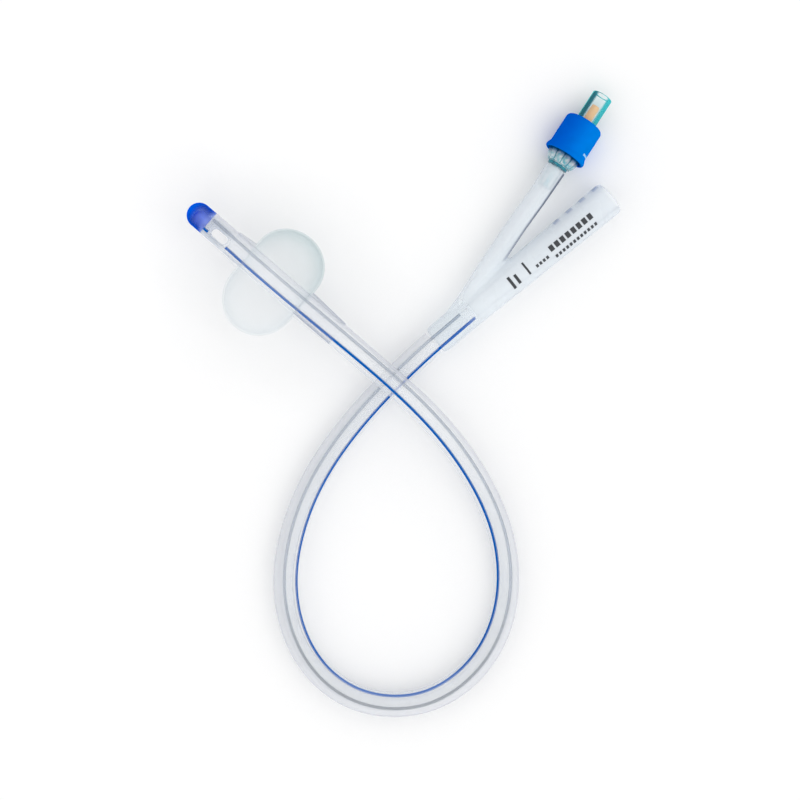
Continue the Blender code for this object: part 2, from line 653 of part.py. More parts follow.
def build_valve_base(teal):
    """Barbed spigot, ring, lobed crown and hollow plug in one moulding."""
    bore_r, barb_r = ARM_LUMEN / 2, SPIGOT_OD / 2
    trough_r = barb_r - BARB_HEIGHT
    outline = [(-SPIGOT_LENGTH, bore_r), (-SPIGOT_LENGTH, trough_r)]
    pitch = SPIGOT_LENGTH / (BARB_COUNT + 1)
    for i in range(BARB_COUNT):
        crest = -SPIGOT_LENGTH + (i + 1) * pitch
        outline += [(crest, barb_r), (crest, trough_r)]
    neck_r = RING_OD / 2 - BARB_HEIGHT
    bevel = 0.15 * CROWN_HEIGHT
    outline += [
        (SEAM, trough_r), (SEAM, RING_OD / 2), (RING_END, RING_OD / 2), (RING_END, neck_r),
        (CROWN_START, neck_r), (CROWN_START + bevel, CROWN_R), (CROWN_END - bevel, CROWN_R),
        (CROWN_END, CROWN_R - bevel), (CROWN_END, PLUG_R), (PLUG_END, PLUG_R),
        (PLUG_END, SPRING_CHAMBER / 2), (SPRING_FLOOR, SPRING_CHAMBER / 2), (SPRING_FLOOR, bore_r)]
    steps = 3 * CROWN_LOBES
    bm = turned_bmesh(outline, steps)
    for vert in bm.verts:
        radius = Vector((vert.co.x, vert.co.z)).length
        sector = round(np.arctan2(vert.co.z, vert.co.x) / (2 * pi / steps)) % 3
        if sector == 0 and radius > (PLUG_R + CROWN_R) / 2 and vert.co.y > RING_END:
            vert.co.x *= 1 - LOBE_DEPTH / radius
            vert.co.z *= 1 - LOBE_DEPTH / radius
    bm.transform(valve_frame())
    return finish_mesh(bm, "valve_base", teal)


def build_valve_body(teal):
    """Barrel with the conical syringe bore, seat, and the drum that takes the base's plug."""
    barrel_r, drum_bore_r = BARREL_OD / 2, PLUG_R + SEAM
    drum_edge = DRUM_WALL / 2
    rim = (barrel_r - BARREL_BORE / 2) / 4
    outline = [
        (DRUM_START, drum_bore_r), (DRUM_START, DRUM_R), (DRUM_END - drum_edge, DRUM_R),
        (DRUM_END, DRUM_R - drum_edge), (DRUM_END, barrel_r), (VALVE_LENGTH - rim, barrel_r),
        (VALVE_LENGTH, barrel_r - rim), (VALVE_LENGTH, BARREL_BORE / 2), (SEAT_PLACE, SEAT_BORE_R),
        (SEAT_PLACE, drum_bore_r)]
    return turned("valve_body", outline, TURN_STEPS, teal, valve_frame())


def build_valve_sleeve(blue):
    """Blue cap over the drum, open below in a flared skirt, with a vent slot on each side."""
    inner_r, hole_r = DRUM_R + SEAM, BARREL_OD / 2 + SEAM
    outline = [
        (SKIRT_START, SKIRT_R - SKIRT_WALL), (SKIRT_START, SKIRT_R - SKIRT_FLARE / 2),
        (SKIRT_REST, SKIRT_R), (SKIRT_END, SLEEVE_R)]
    for turn in quarter_turn():
        outline.append((SLEEVE_TOP - SLEEVE_EDGE * (1 - sin(turn)), SLEEVE_R - SLEEVE_EDGE * (1 - cos(turn))))
    outline += [
        (SLEEVE_TOP, hole_r), (DRUM_END + SEAM, hole_r), (DRUM_END + SEAM, DRUM_R - DRUM_WALL / 2),
        (DRUM_END + SEAM - DRUM_WALL / 2, inner_r), (SKIRT_END, inner_r)]
    frame = valve_frame()
    sleeve = turned("valve_sleeve", outline, TURN_STEPS, blue, frame)
    vents = block("vent cutter", (3 * SKIRT_R, VENT_WIDTH, VENT_HEIGHT), SKIRT_END + VENT_ABOVE_SKIRT, frame)
    add_boolean(sleeve, vents, "DIFFERENCE")


def build_plunger(tan_plastic, soft_white, steel):
    """Stem with a cross slot, head, and a guide pin in the spring. The seal rides on the head."""
    top = VALVE_LENGTH - PLUNGER_RECESS
    guide_r, edge = GUIDE_OD / 2, 0.15 * STEM_R
    outline = [
        (GUIDE_END, 0), (GUIDE_END, guide_r - edge), (GUIDE_END + edge, guide_r), (HEAD_BACK, guide_r),
        (HEAD_BACK, HEAD_R), (HEAD_TOP, HEAD_R), (HEAD_TOP, STEM_R), (top - edge, STEM_R),
        (top, STEM_R - edge), (top, 0)]
    frame = valve_frame()
    plunger = turned("valve_plunger", outline, FINE_STEPS, tan_plastic, frame)
    slot = block("plunger slot", (4 * STEM_R, 2 * SLOT_DEPTH, SLOT_WIDTH), top, frame)
    add_boolean(plunger, slot, "DIFFERENCE")

    hole_r, chamfer = STEM_R + SEAM, SEAL_THICKNESS / 3
    ring = [
        (SEAL_BACK, hole_r), (SEAL_BACK, SEAL_R), (SEAL_TOP - chamfer, SEAL_R), (SEAL_TOP, SEAL_R - chamfer),
        (SEAL_TOP, hole_r)]
    turned("valve_seal", ring, FINE_STEPS + 2, soft_white, frame)

    wire_r = SPRING_WIRE / 2
    low, high = SPRING_FLOOR + SEAM + wire_r, HEAD_BACK - SEAM - wire_r
    coil_r = SPRING_R - wire_r
    steps = COIL_STEPS * SPRING_TURNS
    coil = []
    for i in range(steps + 1):
        turn = 2 * pi * SPRING_TURNS * i / steps
        place = Vector((coil_r * cos(turn), low + (high - low) * i / steps, coil_r * sin(turn)))
        coil.append(tuple(frame @ place))
    swept("valve_spring", coil, circle(wire_r, 5), material=steel)


def main():
    clear_scene()
    silicone = make_material("clear silicone", (0.86, 0.89, 0.92), 0.25, transmission=0.6)
    film = make_material("silicone film", (0.90, 0.93, 0.95), 0.3, transmission=0.7)
    stripe_blue = make_material("x-ray blue", (0.01, 0.10, 0.45), 0.4)
    tip_blue = make_material("tip blue", (0.01, 0.08, 0.60), 0.3)
    teal = make_material("clear teal plastic", (0.10, 0.60, 0.65), 0.15, transmission=0.8)
    sleeve_blue = make_material("sleeve blue", (0.0, 0.13, 0.72), 0.45)
    tan_plastic = make_material("tan plastic", (0.72, 0.48, 0.22), 0.5)
    soft_white = make_material("seal rubber", (0.75, 0.74, 0.70), 0.6)
    steel = make_material("spring steel", (0.6, 0.6, 0.62), 0.3, metallic=1.0)

    points, along = shaft_route()
    build_shaft(silicone, points, along)
    build_stripe(stripe_blue, points, along)
    build_tip(tip_blue)
    build_balloon(film)
    build_bifurcation(silicone, along[-1])
    build_valve_base(teal)
    build_valve_body(teal)
    build_valve_sleeve(sleeve_blue)
    build_plunger(tan_plastic, soft_white, steel)
    print(f"shaft {along[-1] / MM:.1f} mm")


main()
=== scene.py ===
# %% [markdown]
# # A balloon catheter in a loop
#
# A two-way silicone catheter lies on a white table: a clear tube with a blue tip and a blue X-ray line, a
# filled balloon, and a moulded branch with a drainage funnel and an inflation valve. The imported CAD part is
# the frame, and each step below dresses one piece of it. Sizes are in metres, and +Y runs out of the
# funnel's mouth.

# %% Load the frame
from math import asin, cos, hypot, pi, radians, sin

import bmesh
import bpy
import numpy as np
from mathutils import Matrix, Vector


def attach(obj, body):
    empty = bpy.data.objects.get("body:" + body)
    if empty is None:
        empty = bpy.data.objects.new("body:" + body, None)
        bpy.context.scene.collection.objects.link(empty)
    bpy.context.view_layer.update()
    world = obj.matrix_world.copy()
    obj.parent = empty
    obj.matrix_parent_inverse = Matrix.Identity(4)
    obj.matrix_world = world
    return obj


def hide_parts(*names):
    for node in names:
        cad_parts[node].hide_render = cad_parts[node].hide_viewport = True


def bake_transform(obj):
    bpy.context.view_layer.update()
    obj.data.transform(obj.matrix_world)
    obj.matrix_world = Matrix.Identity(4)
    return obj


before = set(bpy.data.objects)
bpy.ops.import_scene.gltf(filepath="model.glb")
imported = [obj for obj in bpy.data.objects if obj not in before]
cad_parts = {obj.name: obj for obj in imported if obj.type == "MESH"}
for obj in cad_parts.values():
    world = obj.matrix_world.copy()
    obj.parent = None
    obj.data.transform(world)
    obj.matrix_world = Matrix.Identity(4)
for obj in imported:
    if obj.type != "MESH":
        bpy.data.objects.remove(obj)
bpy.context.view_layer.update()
MM = 0.001

# %% [markdown]
# ## How the materials are built
#
# Colours are read off the photograph as sRGB and turned to linear in one place. A material is a small tree
# of nodes, so one helper adds a node, sets it and links it, and hands back the output that the next node
# needs.

# %% Colours and nodes
COLOUR_MIX = {"data_type": "RGBA"}
EASED = {"interpolation_type": "SMOOTHSTEP"}


def srgb(hex_code):
    """An sRGB colour such as "1450B0" as linear RGBA."""
    parts = [int(hex_code[i:i + 2], 16) / 255 for i in (0, 2, 4)]
    return (*[p / 12.92 if p <= 0.04045 else ((p + 0.055) / 1.055) ** 2.4 for p in parts], 1.0)


def node(tree, kind, out=0, settings=None, **inputs):
    """Add a shader node, set its properties, set or link its inputs, and return one of its outputs.

    An input goes by its name, with _ for a space, or by its place, as i0 or i1. A colour may be a hex code.
    """
    made = tree.nodes.new("ShaderNode" + kind)
    for key, value in (settings or {}).items():
        setattr(made, key, value)
    for key, value in inputs.items():
        by_place = key[0] == "i" and key[1:].isdigit()
        socket = made.inputs[int(key[1:]) if by_place else key.replace("_", " ")]
        if isinstance(value, bpy.types.NodeSocket):
            tree.links.new(value, socket)
        else:
            socket.default_value = srgb(value) if isinstance(value, str) else value
    return made.outputs[out] if len(made.outputs) else None


def new_material(name):
    """A material with an empty tree, and the place of each point on the object."""
    material = bpy.data.materials.new(name)
    material.use_nodes = True
    tree = material.node_tree
    tree.nodes.clear()
    return material, tree, node(tree, "TexCoord", "Object")


print("1450B0 in linear light:", [round(v, 3) for v in srgb("1450B0")])

# %% [markdown]
# ## What moulded surfaces have in common
#
# No moulded surface is quite even. Gloss and dye wander in soft patches a few millimetres wide, and a fine
# grain roughens its reflections. The real grain is under 0.1 mm, and is drawn at 0.1 to 0.4 mm, as coarse
# as it needs to show. Both are noise on the object's own coordinates, so they stay put when a piece moves.

# %% Patches and grain


def patchy(tree, where, size, low, high, detail=3.0):
    """A value that wanders between low and high in soft patches of about a size."""
    noise = node(tree, "TexNoise", Vector=where, Scale=1 / size, Detail=detail, Roughness=0.5)
    return node(tree, "MapRange", Value=noise, From_Min=0.3, From_Max=0.7, To_Min=low, To_Max=high)


def skin_grain(tree, where, size, depth):
    """A moulded skin's grain as a normal, from bumps of a size and a depth."""
    bumps = node(tree, "TexNoise", Vector=where, Scale=1 / size, Detail=2.0, Roughness=0.5)
    return node(tree, "Bump", Height=bumps, Strength=1.0, Distance=depth)


print("patches and grain ready")

# %% [markdown]
# ## How clear rubber and clear plastic are shown
#
# Looked straight through, a clear wall hardly shows. At its edges the way through it is long, and its dye
# and haze show. A glass shader would bend light through ten walls on its way, which is slow and grainy.
# Here a wall lets light straight on with a tint, and a plain surface covers the rest, both stronger at a
# grazing angle. Bent light also makes some sides darker, and that shade is painted: two helpers change a
# wall along an axis or on one side.

# %% Clear walls


def from_to(tree, vector, axis, start, end, low, high):
    """A value that eases from low to high between two places along an axis."""
    place = node(tree, "VectorMath", "Value", {"operation": "DOT_PRODUCT"}, i0=vector, i1=axis)
    return node(
        tree, "MapRange", 0, EASED, Value=place, From_Min=start, From_Max=end, To_Min=low, To_Max=high)


def turned_to(tree, towards, start=0.45, end=0.9):
    """How far a wall faces a direction, 0 to 1, to paint light and shade. From inside, its flipped normal is
    turned back.
    """
    inside = node(tree, "NewGeometry", "Backfacing")
    normal = node(tree, "NewGeometry", "Normal")
    sign = node(tree, "Math", 0, {"operation": "MULTIPLY_ADD"}, i0=inside, i1=-2, i2=1)
    outward = node(tree, "VectorMath", 0, {"operation": "SCALE"}, i0=normal, Scale=sign)
    return from_to(tree, outward, towards, start, end, 0, 1)


def see_through(tree, surface, cover, edge_cover, tint, edge_tint, power=1.6, cover_power=None):
    """Let light through a surface, less of it at a grazing angle, where the way through is long."""
    facing = node(tree, "LayerWeight", "Facing", Blend=0.5)
    edge = node(tree, "Math", 0, {"operation": "POWER"}, i0=facing, i1=power)
    rim = node(tree, "Math", 0, {"operation": "POWER"}, i0=facing, i1=cover_power or power)
    shade = node(tree, "Mix", 2, COLOUR_MIX, Factor=edge, i6=tint, i7=edge_tint)
    share = node(tree, "MapRange", Value=rim, To_Min=cover, To_Max=edge_cover)
    return node(tree, "MixShader", i0=share, i1=node(tree, "BsdfTransparent", Color=shade), i2=surface)


print("clear walls ready")

# %% [markdown]
# ## Silicone rubber
#
# Every soft piece is platinum-cured silicone rubber, with an index of refraction of 1.41. It is clear and
# slightly milky, and its skin is never quite glossy. The blue pieces have pigment or barium powder mixed in
# before curing.

# %% Silicone


def silicone_skin(
        tree, where, colour, rough, patch=6 * MM, uneven=0.02, swing=0.2, grain=0.35 * MM, gloss=0.5):
    """Cured silicone's surface. Its dye is uneven and its gloss swings from patch to patch."""
    dye = patchy(tree, where, patch, 1 - uneven, 1 + uneven)
    return node(
        tree, "BsdfPrincipled", Base_Color=node(tree, "HueSaturation", Value=dye, Color=colour), IOR=1.41,
        Roughness=patchy(tree, where, patch, rough * (1 - swing), rough * (1 + swing)),
        Specular_IOR_Level=gloss, Normal=skin_grain(tree, where, grain, 0.002 * MM))


def clear_silicone(name, colour, rough, cover, edge_cover, tint, edge_tint, power=1.6, zone=None):
    """Clear silicone. A zone is an axis, a change's start and end on it, and the cover and tint beyond."""
    material, tree, where = new_material(name)
    if zone:
        axis, start, end, far_cover, far_tint = zone
        beyond = from_to(tree, where, axis, start, end, 0, 1)
        cover = from_to(tree, where, axis, start, end, cover, far_cover)
        tint = node(tree, "Mix", 2, COLOUR_MIX, Factor=beyond, i6=tint, i7=far_tint)
    surface = silicone_skin(tree, where, colour, rough)
    shader = see_through(tree, surface, cover, edge_cover, tint, edge_tint, power)
    node(tree, "OutputMaterial", Surface=shader)
    return material


print("silicone ready")

# %% [markdown]
# ## Helpers that make meshes
#
# What is moulded round is an outline spun about its axis. What is extruded is a section swept along a
# curve. Bores are cut out with a Boolean, which keeps track of the tool that made each wall, so a bore can
# get its own material.

# %% From bmesh to object


def to_mesh(bm, name, sharp=35):
    """Merge doubles, turn the faces outwards and shade smooth, with crisp edges above the sharp angle."""
    bmesh.ops.remove_doubles(bm, verts=bm.verts, dist=0.0005 * MM)
    bmesh.ops.recalc_face_normals(bm, faces=bm.faces)
    mesh = bpy.data.meshes.new(name)
    bm.to_mesh(mesh)
    bm.free()
    mesh.shade_smooth()
    mesh.set_sharp_from_angle(angle=radians(sharp))
    return mesh


def as_object(name, mesh, materials, body="catheter", replaces=()):
    """Make the object, ride it on its body, and let it stand for its CAD nodes."""
    thing = bpy.data.objects.new(name, mesh)
    bpy.context.scene.collection.objects.link(thing)
    for material in materials if isinstance(materials, list) else [materials]:
        mesh.materials.append(material)
    if body:
        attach(thing, body)
    if replaces:
        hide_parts(*replaces)
    return thing


def evaluated(thing):
    """The object's mesh with its modifiers or its bevel applied, as a bmesh."""
    graph = bpy.context.evaluated_depsgraph_get()
    graph.update()
    bm = bmesh.new()
    bm.from_mesh(thing.evaluated_get(graph).to_mesh())
    return bm


print("object helpers ready")

# %% Turned, swept and cut shapes


def turned(profile, steps, place=None):
    """Spin a closed outline of (along, radius) points about local Y."""
    bm = bmesh.new()
    corners = [bm.verts.new((max(radius, 0), along, 0)) for along, radius in profile]
    edges = [bm.edges.new((a, b)) for a, b in zip(corners, corners[1:] + corners[:1])]
    on_axis = [edge for edge in edges if all(vert.co.x < 1e-9 for vert in edge.verts)]
    bmesh.ops.delete(bm, geom=on_axis, context="EDGES")
    bmesh.ops.spin(
        bm, geom=bm.verts[:] + bm.edges[:], axis=(0, 1, 0), cent=(0, 0, 0), angle=2 * pi, steps=steps,
        use_merge=True)
    bmesh.ops.remove_doubles(bm, verts=bm.verts, dist=0.0005 * MM)
    if place is not None:
        bm.transform(place)
    return bm


def poly_curve(name, places, closed=False):
    """A curve of straight spans through the places, linked to the scene."""
    curve = bpy.data.curves.new(name, "CURVE")
    curve.dimensions = "3D"
    spline = curve.splines.new("POLY")
    spline.points.add(len(places) - 1)
    for point, place in zip(spline.points, places):
        point.co = (*place, 1)
    spline.use_cyclic_u = closed
    thing = bpy.data.objects.new(name, curve)
    bpy.context.scene.collection.objects.link(thing)
    return thing


def swept(points, section, tilts=None, scales=None):
    """Sweep a closed section along the points. Section +y is the tube's top, +x its right-hand side."""
    outline = poly_curve("section", [(x, y, 0) for x, y in section], closed=True)
    path = poly_curve("path", points)
    path.data.twist_mode = "Z_UP"
    path.data.bevel_mode = "OBJECT"
    path.data.bevel_object = outline
    path.data.use_fill_caps = True
    for i, point in enumerate(path.data.splines[0].points):
        point.tilt = 0 if tilts is None else tilts[i]
        point.radius = 1 if scales is None else scales[i]
    bm = evaluated(path)
    for helper in (path, outline):
        bpy.data.objects.remove(helper)
    return bm


def combine(bm, others, operation, name):
    """Boolean of a closed shape with others. A face from tool 1 gets material index 1, and so on."""
    slots = [None] * (len(others) + 1)
    base = as_object(name, to_mesh(bm, name), slots, body=None)
    tools = []
    for i, other in enumerate(others, 1):
        for face in other.faces:
            face.material_index = i
        tools.append(as_object(f"{name} tool {i}", to_mesh(other, f"{name} tool {i}"), slots, body=None))
        modifier = base.modifiers.new(f"cut {i}", "BOOLEAN")
        modifier.operation = operation
        modifier.object = tools[-1]
        modifier.solver = "EXACT"
    result = evaluated(base)
    for helper in (base, *tools):
        bpy.data.objects.remove(helper)
    return result


def circle(radius, sides, centre=(0, 0)):
    """A round section, starting at its top and going to the right."""
    turn = 2 * pi / sides
    return [(centre[0] + radius * sin(i * turn), centre[1] + radius * cos(i * turn)) for i in range(sides)]


print("shape helpers ready")

# %% [markdown]
# ## The tube's route
#
# The shaft is one bent tube. It runs from the tip over its own other end, round a loop, and back into the
# branch. A stiff tube bends in one smooth curve, so a cubic spline runs through places read from the
# photograph, at the scale that the shaft's 8 mm gives. The heights follow from what lies on what: the loop
# rests on the table, and the leg with the tip climbs over the other leg and on to the balloon. The blue
# line turns about the tube as it goes.

# %% Places on the route
SHAFT_R = 4.0 * MM
FUNNEL_X, FUNNEL_Z, COLLAR_Y, SHAFT_END_Y = -6.2 * MM, 5.75 * MM, 3.9 * MM, 18.4 * MM
CROSSING = Vector((-5.1, -15.2, 0)) * MM
UPPER, BALLOON_Z = 13.238 * MM, 18.05 * MM
TIP_TO_BALLOON, BALLOON_TO_CROSSING = 27.3 * MM, 48.6 * MM
TIP_LEG_ANGLE = radians(9.7)

# Past the crossing: x and y in millimetres, and how much of the height over the table is left
WAY_DOWN = [
    (4.3, -13.7, 0.89), (17.3, -12.7, 0.68), (30.4, -13.2, 0.43), (43.4, -15.4, 0.21), (55.9, -19.7, 0.07),
    (67.0, -26.6, 0.01)]
LOOP = [
    (75.8, -35.7), (81.5, -46.6), (83.6, -58.2), (81.8, -70.2), (75.7, -80.9), (66.2, -88.9), (54.4, -92.7),
    (41.7, -92.0), (29.9, -87.4), (19.7, -79.7), (11.6, -69.9), (5.2, -58.8), (0.6, -46.8)]
# Before the collar: x and y, and how much of the collar's height is reached
WAY_UP = [(-2.5, -34.2, 0.03), (-4.5, -21.5, 0.25), (-5.7, -8.7, 0.66)]
IN_COLLAR = [1.51 * MM, 8.25 * MM, 13.325 * MM, SHAFT_END_Y]


def tip_leg(distance):
    """A point on the straight leg that carries tip and balloon, by its distance from the tip's joint."""
    back = TIP_TO_BALLOON + BALLOON_TO_CROSSING - distance
    rise = back * (BALLOON_Z - UPPER) / BALLOON_TO_CROSSING
    return Vector((
        CROSSING.x - back * cos(TIP_LEG_ANGLE), CROSSING.y - back * sin(TIP_LEG_ANGLE), UPPER + rise))


leg = TIP_TO_BALLOON + BALLOON_TO_CROSSING
places = [tip_leg(leg * share) for share in (0, 0.18, 0.36, 0.54, 0.7, 0.85, 1)]
places += [(x * MM, y * MM, SHAFT_R + share * (UPPER - SHAFT_R)) for x, y, share in WAY_DOWN]
places += [(x * MM, y * MM, SHAFT_R) for x, y in LOOP]
places += [(x * MM, y * MM, SHAFT_R + share * (FUNNEL_Z - SHAFT_R)) for x, y, share in WAY_UP]
places += [(FUNNEL_X, y, FUNNEL_Z) for y in IN_COLLAR]
print(len(places), "places on the route")

# %% A smooth curve through them


def smooth_route(points, spans):
    """Evenly spaced points on the natural cubic spline through the given ones, with their distances."""
    points = np.array(points, float)
    knots = np.concatenate([[0.0], np.cumsum(np.linalg.norm(np.diff(points, axis=0), axis=1))])
    step = np.diff(knots)
    count = len(points)
    system, right = np.eye(count), np.zeros((count, 3))
    for i in range(1, count - 1):
        system[i, i - 1:i + 2] = step[i - 1], 2 * (step[i - 1] + step[i]), step[i]
        slopes = np.diff(points[i - 1:i + 2], axis=0) / step[i - 1:i + 1, None]
        right[i] = 6 * (slopes[1] - slopes[0])
    bend = np.linalg.solve(system, right)

    at = np.linspace(0, knots[-1], 40 * count)
    i = np.clip(np.searchsorted(knots, at) - 1, 0, count - 2)
    h, before, after = step[i, None], (at - knots[i])[:, None], (knots[i + 1] - at)[:, None]
    fine = (bend[i] * after**3 + bend[i + 1] * before**3) / (6 * h) \
        + (points[i] / h - bend[i] * h / 6) * after \
        + (points[i + 1] / h - bend[i + 1] * h / 6) * before

    along = np.concatenate([[0.0], np.cumsum(np.linalg.norm(np.diff(fine, axis=0), axis=1))])
    even = np.linspace(0, along[-1], spans + 1)
    return np.stack([np.interp(even, along, fine[:, axis]) for axis in range(3)], axis=1), even


points, along = smooth_route(places, 200)
shaft_length = along[-1]
print(f"shaft {shaft_length / MM:.1f} mm")

# %% How the tube turns along the route
# The stripe's turn from the tube's top in degrees, by the distance from the tip's joint in millimetres
STRIPE_TURNS = [
    (0, 34), (12, 38), (20, 42), (35, 40), (54, 32), (62, 30), (70, 28), (78, 30), (86, 37), (95, 38),
    (130, 41), (148, 48), (165, 56), (190, 58), (208, 53), (222, 58), (236, 61), (250, 66), (264, 70),
    (278, 67), (292, 61), (306, 58), (320, 54), (334, 51), (348, 49), (362, 48), (370, 44), (381, 38)]


def stripe_turn(distance):
    """The stripe's turn from the top, eased between the stations."""
    at, turns = zip(*STRIPE_TURNS)
    nearby = [distance / MM + shift for shift in (-6, -3, 0, 3, 6)]
    return radians(float(np.mean([np.interp(s, at, turns) for s in nearby])))


def on_section(radius, angle):
    """A place on the tube's section, by its angle from the stripe towards the right-hand side."""
    return radius * sin(angle), radius * cos(angle)


def across_shaft(radius, angle, distance, middle):
    """A place on the shaft's section at a distance, turned with the stripe and laid across the tube."""
    ahead = Vector(np.interp(distance + 1 * MM, along, points[:, k]) for k in range(3))
    behind = Vector(np.interp(distance - 1 * MM, along, points[:, k]) for k in range(3))
    travel = (ahead - behind).normalized()
    right = travel.cross(Vector((0, 0, 1))).normalized()
    x, y = on_section(radius, angle + stripe_turn(distance))
    return middle + right * x + right.cross(travel) * y


tilts = [stripe_turn(distance) for distance in along]
print("the stripe turns between", [round(turn * 180 / pi) for turn in (min(tilts), max(tilts))], "degrees")

# %% [markdown]
# ## The tube's rubber
#
# The tube has a wide lumen for drainage and a fine one for the balloon's water. The eye sees nearly nothing
# through its middle, a soft grey on the side with more rubber, and the fine lumen as a grey line. So the
# skin, the thick side and both lumens have a finish each. Where tube and collar are bonded, the surface
# between them is gone.

# %% Materials of the tube
OUT_OF_TIP = (-cos(TIP_LEG_ANGLE), -sin(TIP_LEG_ANGLE), 0.08)
TO_LOOP_END = (0.772, -0.636, 0)

# Clear extruded silicone: almost invisible in the middle, milky white at the edges, greyer beside the eyes
tube_silicone = clear_silicone(
    "extruded clear silicone", "FCFEFF", rough=0.22, cover=0.2, edge_cover=0.6, tint="FFFFFF",
    edge_tint="ECF2FA", power=2.5, zone=(OUT_OF_TIP, 74 * MM, 80 * MM, 0.2, "E0E4EA"))
# The same rubber where the wall is thick: an even pale grey
thick_wall = clear_silicone(
    "extruded clear silicone, thick side", "F0F1F4", rough=0.22, cover=0.3, edge_cover=0.4, tint="F8F9FB",
    edge_tint="F0F1F5", power=1.0)
# The drainage lumen's wall: soft white, with a thin dark line where it turns away
lumen_wall = clear_silicone(
    "wall of the drainage lumen", "FCFEFF", rough=0.3, cover=0.22, edge_cover=0.3, tint="FFFFFF",
    edge_tint="9CA4B4", power=5.0)
# The inflation lumen's wall: a grey line, darkest round the loop's far end
fine_lumen_wall = clear_silicone(
    "wall of the inflation lumen", "C0C8D0", rough=0.3, cover=0.25, edge_cover=0.6, tint="E4E8EE",
    edge_tint="98A0B0", zone=(TO_LOOP_END, 70 * MM, 100 * MM, 0.3, "B4B8BE"))
# Rubber bonded to rubber: nothing to see
bonded_seam = clear_silicone(
    "bonded silicone seam", "FFFFFF", rough=0.3, cover=0.0, edge_cover=0.0, tint="FFFFFF", edge_tint="FFFFFF")
print("tube:", [m.name for m in (tube_silicone, thick_wall, lumen_wall, fine_lumen_wall, bonded_seam)])

# %% [markdown]
# ## The tube
#
# A real tube is extruded round two pins that leave the lumens, then the eyes are punched. Sweeping a full
# section with both holes would need a curve with islands, so the tube is a swept rod, and the lumens and
# the eyes are cut out of it. The lumens turn with the stripe, as they do in the extrusion.

# %% Tools that cut the tube
DRAIN_R, DRAIN_OFFSET = 2.3 * MM, 0.7 * MM
INFLATION_R, INFLATION_OFFSET = 0.5 * MM, 2.75 * MM
FROM_INFLATION = radians(75)
EYE_AT, EYE_LENGTH, EYE_WIDTH, EYE_SIDE = 5.4 * MM, 6.7 * MM, 2.8 * MM, 0.9 * MM
EYE_DEPTH = 16 * MM


def eye_cutter():
    """A straight slot with round ends, down through both walls."""
    reach, radius = (EYE_LENGTH - EYE_WIDTH) / 2, EYE_WIDTH / 2
    bm = bmesh.new()
    rim = []
    for end in (1, -1):
        for turn in [pi * i / 12 for i in range(13)]:
            x, y = end * (reach + radius * sin(turn)), end * radius * cos(turn) - EYE_SIDE
            rim.append(bm.verts.new((x, y, -EYE_DEPTH / 2)))
    walls = bmesh.ops.extrude_face_region(bm, geom=[bm.faces.new(rim)])["geom"]
    top = [item for item in walls if isinstance(item, bmesh.types.BMVert)]
    bmesh.ops.translate(bm, vec=(0, 0, EYE_DEPTH), verts=top)
    bm.transform(Matrix.Translation(tip_leg(EYE_AT)) @ Matrix.Rotation(TIP_LEG_ANGLE, 4, "Z"))
    return bm


def lengthened(line, extra):
    """The same points, with both ends moved out along the tube."""
    line = np.array(line)
    for end, inner in ((0, 1), (-1, -2)):
        run = line[end] - line[inner]
        line[end] += run / np.linalg.norm(run) * extra
    return line


def stretch(start, end):
    """The points of the route between two distances, and their tilts."""
    inside = (along > start) & (along < end)
    at = np.concatenate([[start], along[inside], [end]])
    line = np.stack([np.interp(at, along, points[:, k]) for k in range(3)], axis=1)
    return line, [stripe_turn(distance) for distance in at]


print(f"eyes {EYE_LENGTH / MM:.1f} x {EYE_WIDTH / MM:.1f} mm")

# %% Cut it
drain_centre = on_section(DRAIN_OFFSET, pi - FROM_INFLATION)
drain = swept(lengthened(points, 1 * MM), circle(DRAIN_R, 32, drain_centre), tilts)
fine_points, fine_tilts = stretch(0.6 * MM, shaft_length - 3 * MM)
fine_bore = circle(INFLATION_R, 12, on_section(INFLATION_OFFSET, -FROM_INFLATION))
inflation = swept(fine_points, fine_bore, fine_tilts)
rod = swept(points, circle(SHAFT_R, 48), tilts)
tube_bm = combine(rod, [drain, inflation, eye_cutter()], "DIFFERENCE", "shaft")

SKIN, THICK, BONDED = 0, 4, 5
THICK_FROM = 0.72 * SHAFT_R
to_thick_side = np.array([across_shaft(1, -FROM_INFLATION - radians(45), d, Vector()) for d in along])
for face in tube_bm.faces:
    centre = np.array(face.calc_center_median())
    nearest = np.argmin(np.linalg.norm(points - centre, axis=1))
    if face.material_index == SKIN and (centre - points[nearest]) @ to_thick_side[nearest] > THICK_FROM:
        face.material_index = THICK
    in_collar = face.material_index in (SKIN, THICK) and centre[1] > COLLAR_Y
    if in_collar or centre[1] > SHAFT_END_Y - 0.05 * MM:
        face.material_index = BONDED
shaft_tube = as_object(
    "shaft_tube", to_mesh(tube_bm, "shaft_tube"),
    [tube_silicone, lumen_wall, fine_lumen_wall, tube_silicone, thick_wall, bonded_seam], replaces=["shaft"])
print("tube:", len(shaft_tube.data.polygons), "faces")

# %% [markdown]
# ## The X-ray line
#
# The blue line is a strip of barium-filled silicone, extruded into the wall of the tube so that an X-ray
# shows where the catheter lies. It is a thin section swept along the same route with the same turns, a hair
# proud of the wall, in two lengths, because the drainage eye is punched through it.

# %% Pigmented silicone


def pigmented(name, colour, rough, gloss):
    """Silicone with pigment mixed in before curing: deep colour, hardly any shine."""
    material, tree, where = new_material(name)
    surface = silicone_skin(tree, where, colour, rough, 2.5 * MM, 0.08, grain=0.2 * MM, gloss=gloss)
    return material, tree, where, surface


